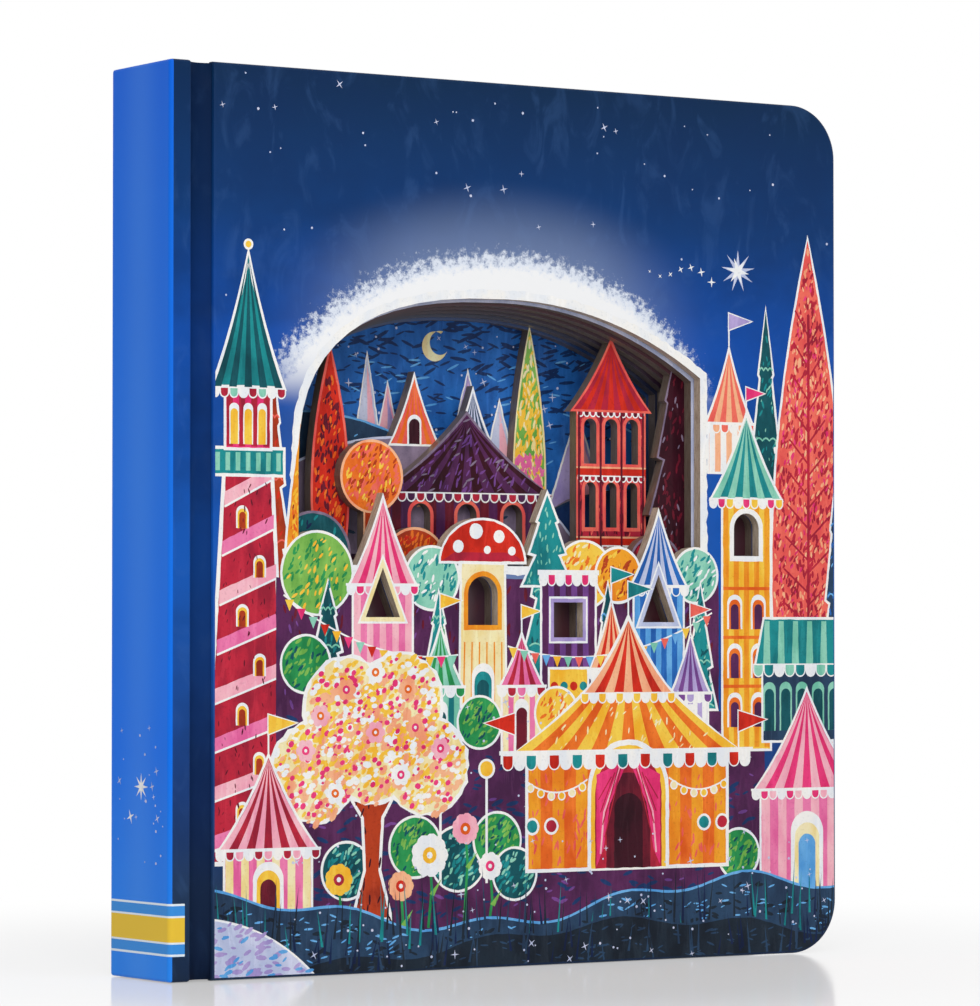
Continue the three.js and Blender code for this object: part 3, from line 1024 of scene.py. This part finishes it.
def pavilion(page):
    """The tall yellow pavilion right of the window, with a peephole in its wall."""
    peach_tent = (149.5, 165, 118, 130, 150)
    striped_tent(page, *peach_tent, ("peach", "white"), ("peach", "coral"), None, 7, "lilac")
    striped_wall(page, 162.5, 50, 15.5, 63, ("yellow", "amber"), 9)
    for height in (56, 68, 80):
        doorway(page, 158.9, height, 4.6, 8.5, ("white", "orange", "plum"))
        doorway(page, 166.1, height, 4.6, 8.5, ("white", "orange", "plum"))
    for height in (66, 78, 90):
        page.line([(155.4, height), (169.6, height)], 0.8, "orange")
    hole = peepholes()[4]
    page.chalk(offset(hole, 1.3), "white")
    striped_roof(page, 151, 174, 111.5, 134, ("teal", "mint"), 9, 0.9)
    valance(page, 151.2, 173.8, 112.2, 2.8, ("white", "hot_pink", "yellow"), 9)
    flag(page, 162.5, 133, 6.5, "hot_pink")


def window_row(page):
    """What stands in the window's lower edge, and what it stands on."""
    tent_hole, toadstool_hole, stall_hole, blue_hole, _ = peepholes()
    page.chalk([(28, 8), (168, 8), (168, 58), (154, 60), (154, 92), (28, 92)], "plum")
    low_part = [(30, 10), (166, 10), (166, 56), (30, 60)]
    high_part = [(30, 60), (152, 60), (152, 92), (30, 92)]
    page.brush(low_part, 78, ("night", 420, 3.4, 5, 0.3), ("purple", 120, 2.6, 5, 0.3))
    page.brush(high_part, 80, ("maroon", 260, 3.0, 85, 0.3), ("purple", 120, 2.2, 85, 0.3))
    shapes = cover_skyline()
    for number, colour, marks in [
        (0, "leaf", ("green", "yellow")),
        (2, "mint", ("teal", "white")),
        (5, "yellow", ("orange", "cream")),
        (6, "amber", ("rust", "yellow")),
        (8, "mint", ("teal", "white")),
    ]:
        leafy_tree(page, shapes[number], colour, marks, 82 + number, 55, 0.32)
    for x, foot, half, height, colour, marks, snow in [
        (42, 66, 6, 26, "deep_teal", "teal", "mint"),
        (72.5, 64, 5, 26, "teal", "green", "mint"),
        (121, 62, 5.5, 30, "deep_teal", "teal", "sky"),
        (148.5, 60, 5.5, 32, "teal", "deep_teal", "mint"),
    ]:
        fir_tree(page, x, foot, half, height, 3, colour, marks, snow, 90 + int(x))
    fir_tree(page, 103.4, 62, 9, 51.5, 4, "teal", "deep_teal", "mint", 91)
    page.sticker(shapes[4], "teal")
    page.dabs(offset(shapes[4], -1.2), "mint", 60, 1.5, 92, 75, 0.3)

    eaves = window_y(-4.4)
    pink_tent = (window_x(11.4), window_x(28.8), 63, eaves, window_y(14.8))
    striped_tent(page, *pink_tent, ("pink", "blush"), ("hot_pink", "blush"))
    page.sticker(offset(tent_hole, 1.5), "cream", 0.5)

    page.sticker([(77.9, 56), (92, 56), (91.5, 96), (78.4, 96)], "cream")
    for i in range(6):
        page.line([(79.4 + 2.2 * i, 58), (79.8 + 2.1 * i, 77)], 0.4, "amber")
    page.chalk(offset(toadstool_hole, 1.2), "amber")
    doorway(page, 85, 58, 6.4, 14, ("white", "teal", "deep_teal"))
    cap = arc(84.95, 95.5, 12.5, 0, 180, 24, 0.88)
    page.sticker(cap, "scarlet")
    page.chalk([(73.4, 96.2), (96.4, 96.2), (93, 98.2), (77, 98.2)], "crimson", 0.1)
    spots = [(78, 99.6, 1.5), (83, 103.2, 1.9), (89.5, 102, 1.6), (93.2, 98.6, 1.1), (86.2, 98.8, 1)]
    for x, y, radius in spots:
        page.chalk(disc(x, y, radius, 14), "white")

    striped_wall(page, 109.5, 60, 16.5, 33, ("purple", "plum"), 9)
    page.sticker(offset(stall_hole, 1.4), "lilac", 0.5)
    valance(page, 101, 118, 94, 5, ("white", "hot_pink"), 7)
    page.line([(100.6, 93.6), (118.4, 93.6)], 1.2, "white")
    page.sticker(rectangle(109.5, 62, 12, 9), "yellow", 0.6)
    for i in range(4):
        page.paint(disc(105.4 + 2.8 * i, 66.4, 1.1, 12), ("scarlet", "teal")[i % 2])

    blue_tent = (window_x(81.2), window_x(97), 63, eaves, window_y(12.7))
    striped_tent(page, *blue_tent, ("blue", "sky"), ("mist", "blue"))
    page.sticker(offset(blue_hole, 1.5), "mist", 0.5)


def middle_row(page):
    """A second row of small tents and bushes, in front of the first."""
    for place, wall, roof, door, pennant in [
        ((115, 129, 50, 70, 88), ("coral", "yellow"), ("scarlet", "peach"), "plum", "teal"),
        ((66, 80, 46, 66, 82), ("teal", "mint"), ("green", "mint"), "deep_teal", "yellow"),
        ((89, 103, 48, 66, 80), ("pink", "cream"), ("crimson", "pink"), "maroon", "yellow"),
        ((139, 152, 48, 64, 80), ("lilac", "white"), ("purple", "lilac"), "plum", "coral"),
    ]:
        striped_tent(page, *place, wall, roof, ("white", door), 7, pennant)
    for x, y, radius, colour, marks in [
        (36, 72, 7, "green", ("leaf", "deep_teal")),
        (62, 62, 6, "hot_pink", ("blush", "crimson")),
        (84, 58, 6.5, "green", ("leaf", "deep_teal")),
        (106, 60, 6.5, "yellow", ("orange", "cream")),
        (133, 60, 7.5, "green", ("leaf", "teal")),
    ]:
        leafy_tree(page, disc(x, y, radius), colour, marks, 110 + x, 55, 0.35)
    garland(page, (30, 88), (78, 74), 5, ("yellow", "hot_pink", "mint", "scarlet"), 15)
    garland(page, (92, 76), (152, 84), 6, ("yellow", "mint", "coral", "sky"), 19)


def right_stalls(page):
    """A stall and a pink tent at the fore-edge."""
    page.sticker(rectangle(180, 52, 26, 28), "slate")
    for i in range(5):
        doorway(page, 169.5 + 5 * i, 55, 3.8, 12, ("mint", "deep_teal"))
    page.sticker([(164.5, 70), (194, 70), (191, 83), (167.5, 83)], "teal")
    for i in range(6):
        x = 167.6 + 4.4 * i
        page.chalk([(x, 70.8), (x + 2.2, 70.8), (x + 1.9, 82), (x + 0.4, 82)], "mint", 0.1)
    valance(page, 164.5, 193.5, 71.5, 3.4, ("mint", "teal", "white"), 9)
    striped_tent(page, 164, 198, 14, 40, 66, ("pink", "blush"), ("hot_pink", "blush"), None, 11)
    doorway(page, 181, 15, 10, 20, ("white", "cream", "sky"))


def great_marquee(page):
    """The biggest tent, with a wide doorway."""
    striped_wall(page, 127, 22, 60, 30, ("orange", "amber"), 17, 0.9, 2)
    page.dabs(rectangle(127, 24, 57, 26), "coral", 160, 2.4, 120, 86, 0.25)
    striped_roof(page, 90, 164, 48.5, 78, ("orange", "yellow"), 15, 1.1)
    page.dabs(tent(96, 158, 50, 74), "cream", 130, 1.8, 121, 60, 0.25)
    striped_roof(page, 113, 141, 64, 84, ("scarlet", "peach"), 9, 0.9)
    valance(page, 113, 141, 64.8, 2.8, ("yellow", "white"), 11)
    for width, height, colour in [
        (24, 31, "white"),
        (22, 29.6, "yellow"),
        (19.6, 27.8, "crimson"),
        (13, 23, "maroon"),
        (8.4, 18, "oxblood"),
    ]:
        page.chalk(archway(127, 22.5, width, height), colour)

    def beside(side, spots):
        return [(127 + side * x, y) for x, y in spots]

    for side in (-1, 1):
        drape = beside(side, [(0, 49), (9.4, 45), (9.4, 23), (7.4, 27), (5.4, 38)])
        page.chalk(drape[::side], "hot_pink")
        page.line(beside(side, [(8.2, 26), (7.2, 36), (2.5, 47)]), 0.5, "blush")
        for i in range(4):
            fold = beside(side, [(2 + i, 47.5 - i), (7 + 0.6 * i, 30 + 3 * i)])
            page.line(fold, 0.3, "crimson")
    valance(page, 90.4, 163.6, 50.2, 4.4, ("scarlet", "white", "teal", "white"), 22)
    page.line([(89.6, 50.6), (164.4, 50.6)], 1.0, "white")
    garland(page, (97, 44), (115, 44), 3, ("cream", "yellow"), 6, True)
    garland(page, (139, 44), (157, 44), 3, ("cream", "yellow"), 6, True)
    flag(page, 127, 83.5, 8, "teal")
    for side in (-1, 1):
        flag(page, 127 + side * 33, 50, 10, "scarlet", side)
    for i, x in enumerate((99, 104.5, 149.5, 155)):
        page.chalk(disc(x, 33, 2.1, 16), "white", 0.1)
        page.chalk(disc(x, 33, 1.5, 16), ("teal", "crimson")[i % 2], 0.08)


def blossom_tree(page):
    """The cream blossom tree in the front, left of the middle."""
    right_side = [(60, 12), (56.6, 24), (57.4, 36), (66, 50), (62, 52), (54, 42)]
    trunk = [(48, 12), *right_side, (46, 51), (42, 49), (51, 36), (51.6, 24)]
    page.sticker(trunk, "rust", 0.8)
    page.dabs(trunk, "oxblood", 60, 3.0, 130, 88, 0.22)
    crown = [(38, 47, 12), (69, 48, 12), (47, 62, 12), (62, 63, 12), (54, 52, 13)]
    for inset, colour in ((0, "white"), (0.9, "cream")):
        for x, y, radius in crown:
            page.chalk(disc(x, y, radius - inset), colour, 0.9)
    for i, (x, y, radius) in enumerate(crown):
        outer = disc(x, y, radius - 1)
        page.dabs(outer, "yellow", 150, 2.6, 131 + i, 30, 0.5)
        page.dabs(disc(x, y - 2, radius - 2), "peach", 110, 2.4, 141 + i, 40, 0.6)
        page.dabs(outer, "white", 90, 2.0, 151 + i, 10, 0.7)
        page.dabs(outer, "hot_pink", 60, 1.5, 161 + i, 30, 0.8)
    blossoms = [(36, 52), (44, 42), (47, 66), (55, 56), (62, 46), (64, 66), (73, 52), (55, 70)]
    for i, (x, y) in enumerate([*blossoms, (66, 57), (40, 60)]):
        petal, heart = ("blush", "white", "peach")[i % 3], ("hot_pink", "orange")[i % 2]
        daisy(page, x, y, 2.7, petal, heart, 6)


def hedge(page):
    """Low bushes and lamps behind the flowers."""
    kinds = [("deep_teal", ("teal", "mint")), ("green", ("leaf", "deep_teal"))]
    bushes = [(47, 24, 7), (66, 29, 7.5), (78, 26, 8), (89, 30, 7), (94, 22, 6.5), (160, 25, 6.5)]
    for i, bush in enumerate(bushes):
        leafy_tree(page, disc(*bush), *kinds[i % 2], 180 + i, 50, 0.35)
    for x in (73, 86):
        page.line([(x, 20), (x, 46)], 0.7, "white")
        page.paint(disc(x, 47, 2.4, 20), "white")
        page.chalk(disc(x, 47, 1.8, 20), "yellow", 0.1)
    starry(page, 181, 60, rectangle(98, 36, 120, 30))


def front_left(page):
    door = ("white", "yellow", "maroon")
    corner_tent = (12, 40, 12, 29, 52)
    striped_tent(page, *corner_tent, ("pink", "cream"), ("crimson", "blush"), door, 11, "yellow")
    for x, y, radius, petal, heart in [
        (70, 27, 5.2, "white", "yellow"),
        (80, 33, 3.8, "blush", "orange"),
        (62, 20, 3.6, "peach", "scarlet"),
        (45, 22, 3.8, "yellow", "crimson"),
        (87, 24, 3.4, "white", "hot_pink"),
    ]:
        page.line([(x, y), (x + 0.6, y - 8), (x - 0.4, 10)], 0.7, "green")
        page.chalk([(x, y - 9), (x + 3.4, y - 5.5), (x + 1.2, y - 9.6)], "leaf", 0.1)
        daisy(page, x, y, radius, petal, heart, 9)


def reeds(page, seed, count, left, right, root, reach, colours):
    draw = np.random.default_rng(seed)
    for _ in range(count):
        x, lean = draw.uniform(left, right), draw.uniform(-1.6, 1.6)
        rise = draw.uniform(0.6, 1.1) * reach
        low = draw.uniform(*root)
        blade = [(x - 0.35, low), (x + 0.35, low), (x + lean, low + rise)]
        page.paint(blade, colours[draw.integers(len(colours))])


def cover_ground(page):
    """Slate-blue ground with reeds, and near-black ground along the tail."""

    def hill(height, swell, pitch, start):
        top = []
        for x in range(8, 197, 3):
            wave = swell * math.sin(x / pitch + start)
            top.append((x, height + wave + 0.35 * swell * math.sin(x / 6.1)))
        return [(8, -2), (196, -2), *reversed(top)]

    page.sticker(hill(15, 4.5, 25, 1.4), "slate", 0.6, "sky")
    page.dabs(hill(13, 4.5, 25, 1.4), "sky", 420, 2.2, 170, 5, 0.22)
    page.dabs(hill(12, 4.5, 25, 1.4), "ink_blue", 420, 3.0, 171, 5, 0.3)
    reeds(page, 172, 130, 10, 192, (3, 10), 13, ("ink_blue", "navy", "slate", "teal"))
    page.sticker(hill(6.5, 3.6, 31, 3.6), "ink_blue", 0.45, "slate")
    page.dabs(hill(5, 3.6, 31, 3.6), "slate", 240, 2.4, 173, 5, 0.2)
    reeds(page, 174, 90, 10, 192, (-1, 4), 9, ("navy", "ink_blue", "slate"))
    snow = [(8, -1), (40, -1), *curve((40, -1), (27, 13), (8, 14.5))]
    page.sticker(snow, "mist", 0.5)
    page.brush(snow, 175, ("lilac", 90, 3.0, 15, 0.4), ("sky", 50, 2.4, 15, 0.35))
    starry(page, 43, 110, rectangle(110, 1, 156, 30))


def front_cover_print():
    mask = [(PANEL, True), (arch(0), False)]
    mask += [(outline, True) for outline in cover_skyline()]
    mask += [(outline, False) for outline in peepholes()]
    front = on_front(FRONT_FACE)
    page = Print("front_cover_print", "front_cover", "printed_cover", front, mask)
    painters = [cover_sky, left_trees, right_trees, helter_skelter, window_row, pavilion, middle_row]
    painters += [right_stalls, hedge, great_marquee, blossom_tree, front_left, cover_ground]
    for painter in painters:
        painter(page)
    page.finish()


# The leaves' prints, from the front leaf on, each with its outlines in the window's units


def leaf_1():
    return [disc(5, 2, 9), disc(90, 0, 7)], []


def paint_leaf_1(page, shapes):
    starry(page, 200, 160, rectangle(95, 100, 180, 104), arch(-3))
    page.chalk(arch(-1.8), "mist", 0.4)
    ground = [(2, 1), (189, 1), *[(189 - 6 * i, 52 + 9 * math.sin(i / 4.6)) for i in range(32)]]
    page.sticker(ground, "plum", 0.6, "mist")
    page.brush(ground, 220, ("purple", 500, 3.4, 5, 0.3), ("night", 500, 4.2, 5, 0.3))
    kinds = [("deep_teal", "teal", "mint"), ("slate", "blue", "sky"), ("teal", "deep_teal", "mint")]
    for i, x in enumerate((14, 30, 47, 70, 96, 118, 139, 160, 177)):
        height = 26 + 9 * math.sin(2.1 * i)
        fir_tree(page, x, 36 + 3 * math.cos(i), 9, height, 3, *kinds[i % 3], 222 + i)
    leafy_tree(page, shapes[0], "deep_teal", ("teal", "navy"), 201, 60, 0.4, "mauve")
    leafy_tree(page, shapes[1], "maroon", ("crimson", "oxblood"), 202, 60, 0.4, "mauve")


def leaf_2():
    crown, trunk = disc(20.5, 18.3, 7.6), rectangle(20.5, -1, 4, 16)
    return [crown, trunk, disc(31, 0, 8), fir(97.5, -1, 9.5, 49, 4)], []


def paint_leaf_2(page, shapes):
    page.sticker(shapes[1], "rust", 0.5, "peach")
    leafy_tree(page, shapes[2], "rust", ("orange", "scarlet"), 203, 60, 0.5, "peach")
    leafy_tree(page, shapes[0], "orange", ("coral", "rust", "yellow"), 204, 60, 0.6, "peach")
    page.sticker(shapes[3], "oxblood", 0.5, "mauve")
    inner = offset(shapes[3], -1)
    page.brush(inner, 205, ("maroon", 200, 2.4, 80, 0.3), ("mauve", 60, 1.6, 80, 0.3))


def leaf_3():
    bays = [82 - 5.4, 82, 82 + 5.4]
    cut = [archway(bay, 22, 3.2, 9.6) for bay in bays] + [archway(bay, 8.5, 2.8, 9.6) for bay in bays]
    return [rectangle(82, -1, 18, 35), tent(71.4, 92.6, 33, 49), poplar(12, -1, 5, 45.4)], cut


def paint_leaf_3(page, shapes):
    body, roof, tree = shapes
    page.sticker(body, "crimson", 0.6, "coral")
    left, right = window_x(73), window_x(91)
    centre = (left + right) / 2
    inner = offset(body, -1)
    page.brush(inner, 207, ("maroon", 220, 2.2, 88, 0.25), ("coral", 60, 1.6, 88, 0.25))
    for hole in [in_window(outline) for outline in leaf_3()[1]]:
        page.chalk(offset(hole, 0.9), "coral", 0.1)
    for height in (4.4, 19.2, 33):
        up = window_y(height)
        page.chalk(rectangle(centre, up, right - left + 1.2, 2.2), "scarlet", 0.1)
        page.line([(left, up + 2.3), (right, up + 2.3)], 0.45, "peach")
        valance(page, left + 0.4, right - 0.4, up + 0.4, 1.6, ("crimson", "maroon"), 11)
    for x in (-8.3, -2.7, 2.7, 8.3):
        across = window_x(82 + x)
        page.line([(across, WINDOW_FLOOR), (across, window_y(33))], 0.6, "maroon")
    page.sticker(roof, "scarlet", 0.6, "coral")
    ends = (window_x(71.4), window_x(92.6), window_y(33), window_y(49))
    roof_stripes(page, *ends, "crimson", 11)
    leafy_tree(page, tree, "scarlet", ("maroon", "orange"), 209, 80, 0.5, "coral")


def leaf_4():
    cut = [archway(47 + bay, 4.5, 4.8, 8.6) for bay in (-11.5, 0, 11.5)]
    return [rectangle(47, -1, 38.8, 16.5), tent(25.2, 68.8, 15, 32.5)], cut


def paint_leaf_4(page, shapes):
    body, roof = shapes
    page.sticker(body, "plum", 0.5, "crimson")
    wall_stripes(page, window_x(47), WINDOW_FLOOR, UNIT * 37, UNIT * 15, "maroon", 17)
    for hole in [in_window(outline) for outline in leaf_4()[1]]:
        page.chalk(offset(hole, 0.9), "coral", 0.1)
    page.sticker(roof, "plum", 0.6, "mauve")
    left, right, foot = window_x(25.2), window_x(68.8), window_y(15)
    roof_stripes(page, left, right, foot, window_y(32.5), "oxblood", 15)
    inner = offset(roof, -1.2)
    page.brush(inner, 210, ("mauve", 90, 2.2, 40, 0.22), ("purple", 140, 2.2, 60, 0.25))
    valance(page, left, right, foot + 0.5, 2.2, ("crimson", "plum"), 19)


def leaf_5():
    return [disc(31.4, -30.6, 57.6, 90), tent(29, 42, 25, 40.6), tent(43.6, 56.6, 23, 38)], []


def paint_leaf_5(page, shapes):
    hill, orange_tent, grey_tent = shapes
    page.sticker(hill, "mauve", 0.6, "mist")
    inner = offset(hill, -1.5)
    page.brush(inner, 212, ("peach", 300, 3.0, 10, 0.25), ("slate", 300, 3.0, 10, 0.25))
    for outline, low, high, foot, peak, colours in [
        (orange_tent, 29, 42, 25, 40.6, ("orange", "coral")),
        (grey_tent, 43.6, 56.6, 23, 38, ("mist", "slate")),
    ]:
        page.sticker(outline, colours[0], 0.5)
        left, right, foot = window_x(low), window_x(high), window_y(foot)
        roof_stripes(page, left, right, foot, window_y(peak), colours[1], 9)
        doorway(page, (left + right) / 2, foot + 0.5, 4, 7, ("white", "oxblood"))


def leaf_6():
    return [disc(92, -30, 47, 90), disc(10, -30, 62, 90), poplar(66, -1, 4.6, 51.5)], []


def paint_leaf_6(page, shapes):
    page.sticker(shapes[0], "night", 0.5, "slate")
    page.sticker(shapes[1], "slate", 0.5, "sky")
    page.dabs(offset(shapes[1], -1), "sky", 200, 2.6, 214, 10, 0.3)
    page.sticker(shapes[2], "leaf", 0.5, "cream")
    inner = offset(shapes[2], -0.9)
    page.brush(inner, 215, ("yellow", 300, 2.8, 88, 0.3), ("cream", 160, 2.2, 88, 0.3))
    page.dabs([(x, y) for x, y in inner if y < 124], "pink", 260, 2.4, 217, 88, 0.35)


def leaf_7():
    return [], []


def paint_leaf_7(page, shapes):
    """The printed background: a blue evening with far peaks of ice and a thin moon."""
    page.paint(in_window(rectangle(50, -2, 108, 62)), "blue")
    for i in range(9):
        low = 156 - 4.2 * i
        count = 130 - 13 * i
        page.dabs(rectangle(90, low, 116, 8), "night", count, 4.6, 218 + i, 4, 0.18)
    page.dabs(rectangle(90, 112, 116, 34), "sky", 120, 3.6, 230, 4, 0.14)
    for x, foot, width, height, colour in [
        (16, 24, 12, 14, "lilac"),
        (27, 20, 9, 25, "mist"),
        (32, 22, 8, 17, "blush"),
        (37, 24, 9, 14, "lilac"),
        (52, 20, 12, 22, "lilac"),
        (60, 22, 8, 14, "mist"),
        (80, 12, 16, 22, "lilac"),
    ]:
        outline = in_window(triangle(x, foot, width, height))
        page.chalk(outline, "white", 0.2)
        page.chalk(offset(outline, -0.6), colour, 0.2)
        shade = in_window([(x, foot), (x + width / 2 - 1, foot), (x, foot + height - 3)])
        page.chalk(shade, "blush" if colour != "blush" else "lilac", 0.2)
    starry(page, 57, 110, rectangle(90, 125, 110, 34))
    page.paint([*arc(84, 148, 3.6, 60, 330, 26), *arc(85.5, 148.9, 2.9, 318, 72, 22)], "cream")


def leaf_prints():
    leaves = [
        (leaf_1, paint_leaf_1),
        (leaf_2, paint_leaf_2),
        (leaf_3, paint_leaf_3),
        (leaf_4, paint_leaf_4),
        (leaf_5, paint_leaf_5),
        (leaf_6, paint_leaf_6),
        (leaf_7, paint_leaf_7),
    ]
    for i, (drawn, paint) in enumerate(leaves):
        standing, cut = ([in_window(outline) for outline in part] for part in drawn())
        mask = [(LEAF, True)]
        if i < LEAF_COUNT - 2:
            mask.append((arch(WINDOW_STEP * (i + 1)), False))
        mask += [(outline, True) for outline in standing] + [(outline, False) for outline in cut]
        if i == 0:
            mask += [(outline, False) for outline in peepholes()]
        front = on_front(BLOCK_FRONT + i * LEAF_THICKNESS)
        page = Print(f"leaf_{i + 1}_print", "book", "printed_leaves", front, mask)
        paint(page, standing)
        page.finish()


def other_prints():
    back = on_back(BACK_FACE)
    page = Print("back_cover_print", "back_cover", "printed_cover", back, [(PANEL, True)])
    starry(page, 61, 190, rectangle(100, 8, 178, 198))
    page.finish()
    spine = rectangle(14.1, 2, 25, 206)
    page = Print("spine_print", "book", "printed_spine", on_spine, [(spine, True)])
    starry(page, 62, 26, rectangle(14.1, 26, 24, 34))
    page.paint(star(15, 44, 3.2, 8, 0.3), "white")
    page.paint(star(10, 37, 1.8, 4, 0.22, 20), "white")
    page.finish()


# The hinges


# The covering paper's edges, its depth at the edges and in the middle of the groove, its
# thickness, and the steps of its mesh
SHEET_LEFT = SHOULDER_WIDTH - 0.15
SHEET_RIGHT = PANEL_LEFT + 0.15
SHEET_SHALLOW = 0.75
SHEET_DEEP = 1.95
SHEET_THICKNESS = 0.45
SHEET_ACROSS = 14
SHEET_UP = 30


def sheet_vertices(side):
    """The outer layer of the sheet and then the inner one, row by row from the tail."""
    face = FRONT_FACE if side < 0 else BACK_FACE
    vertices = []
    for layer in (0, SHEET_THICKNESS):
        for j in range(SHEET_UP + 1):
            height = EDGE_ROUNDING / 2 + (BOOK_HEIGHT - EDGE_ROUNDING) * j / SHEET_UP
            for i in range(SHEET_ACROSS + 1):
                share = i / SHEET_ACROSS
                hollow = (SHEET_DEEP - SHEET_SHALLOW) * math.sin(math.pi * share) ** 0.7
                dip = SHEET_SHALLOW + hollow + layer
                x = SPINE_EDGE + (SHEET_LEFT + (SHEET_RIGHT - SHEET_LEFT) * share) * MM
                vertices.append((x, face - side * dip * MM, height * MM))
    return vertices


def sheet_faces(side):
    row = SHEET_ACROSS + 1
    layer = row * (SHEET_UP + 1)
    quads = []
    for j in range(SHEET_UP):
        for i in range(SHEET_ACROSS):
            a = j * row + i
            outer = (a, a + 1, a + row + 1, a + row)
            quads += [outer, tuple(v + layer for v in outer)[::-1]]
    rim = list(range(row))
    rim += [j * row + SHEET_ACROSS for j in range(1, SHEET_UP + 1)]
    rim += [SHEET_UP * row + i for i in range(SHEET_ACROSS - 1, -1, -1)]
    rim += [j * row for j in range(SHEET_UP - 1, 0, -1)]
    quads += [(a, a + layer, b + layer, b) for a, b in zip(rim, rim[1:] + rim[:1])]
    return quads if side < 0 else [quad[::-1] for quad in quads]


def hinge_sheet(name, side, node):
    """The covering paper across the groove. It lies in a hollow curve from shoulder to cover."""
    mesh = made_mesh(name, sheet_vertices(side), sheet_faces(side), [hinge_material()])
    for polygon in mesh.polygons:
        polygon.use_smooth = True
    piece = placed(name, mesh)
    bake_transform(piece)
    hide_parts(node)


def dress(node, material):
    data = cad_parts[node].data
    data.materials.clear()
    data.materials.append(material)


# The studio


def seen_rays(tree):
    """1 for rays that see the backdrop straight, in a mirror or through glass, 0 for the rest."""
    path = tree.node("ShaderNodeLightPath").node.outputs
    seen = tree.math("MAXIMUM", path["Is Camera Ray"], path["Is Glossy Ray"])
    return tree.math("MAXIMUM", seen, path["Is Transmission Ray"])


def white_world():
    """A world that looks white and lights the book less."""
    world = bpy.data.worlds.new("studio_world")
    bpy.context.scene.world = world
    world.use_nodes = True
    tree = Tree(world.node_tree)
    background = tree.nodes["Background"]
    tree.feed(background.inputs["Color"], (1, 1, 1, 1))
    strength = tree.node("ShaderNodeMapRange", Value=seen_rays(tree), To_Min=0.4, To_Max=1.0)
    tree.feed(background.inputs["Strength"], strength)


def lamp(name, place, target, size, power):
    data = bpy.data.lights.new(name, "AREA")
    data.shape = "RECTANGLE"
    data.size = data.size_y = size
    data.energy = power
    made = placed(name, data)
    made.location = place
    made.rotation_euler = (Vector(target) - Vector(place)).to_track_quat("-Z", "Y").to_euler()


def pale_floor():
    """A glossy floor that keeps the book's shadow and turns white away from it."""
    bpy.ops.mesh.primitive_plane_add(size=8, location=(0, 0, -0.2 * MM))
    floor = bpy.context.object
    floor.name = "floor"
    paint = Paint("floor_material")
    paint.feed(paint.shader.inputs["Base Color"], (0.9, 0.9, 0.91, 1))
    paint.feed(paint.shader.inputs["Roughness"], 0.12)
    from_middle = paint.node("ShaderNodeVectorMath", 1, {"operation": "LENGTH"})
    paint.feed(from_middle.node.inputs[0], paint.coordinates.outputs["Object"])
    whiteness = paint.math("MULTIPLY_ADD", paint.smooth(from_middle, 0.09, 0.3), 0.6, 0.4)
    glow = paint.node("ShaderNodeEmission", Color=(1, 1, 1, 1), Strength=1.0)
    blend = paint.node("ShaderNodeMixShader")
    parts = (paint.times(seen_rays(paint), whiteness), paint.shader.outputs[0], glow)
    for socket, value in zip(blend.node.inputs, parts):
        paint.feed(socket, value)
    paint.feed(paint.nodes["Material Output"].inputs["Surface"], blend)
    floor.data.materials.append(paint.material)


# The camera, fitted to the book's corners in the photograph
CAMERA_PLACE = (-0.6229, -0.9466, 0.0809)
CAMERA_YAW = 33.40
CAMERA_PITCH = 1.49
CAMERA_LENS = 168.6


def camera():
    data = bpy.data.cameras.new("camera")
    data.lens = CAMERA_LENS
    data.sensor_width = 36
    yaw, pitch = math.radians(CAMERA_YAW), math.radians(CAMERA_PITCH)
    gaze = Vector((math.sin(yaw) * math.cos(pitch), math.cos(yaw) * math.cos(pitch), math.sin(pitch)))
    made = placed("camera", data)
    made.location = CAMERA_PLACE
    made.rotation_euler = gaze.to_track_quat("-Z", "Y").to_euler()
    bpy.context.scene.camera = made
    bpy.context.scene.view_settings.view_transform = "Standard"


BOOK_MIDDLE = (0, 0, 0.1)

camera()
white_world()
lamp("key_lamp", (-0.75, -1.1, 1.0), BOOK_MIDDLE, 0.9, 11.5)
lamp("fill_lamp", (0.35, -1.5, 1.3), BOOK_MIDDLE, 0.8, 6)
pale_floor()
dress("front_cover", front_cover_material())
dress("back_cover", back_cover_material())
dress("spine_cover", spine_material())
dress("page_block", leaf_material())
front_cover_print()
leaf_prints()
other_prints()
hinge_sheet("front_hinge_paper", -1, "front_hinge")
hinge_sheet("back_hinge_paper", 1, "back_hinge")
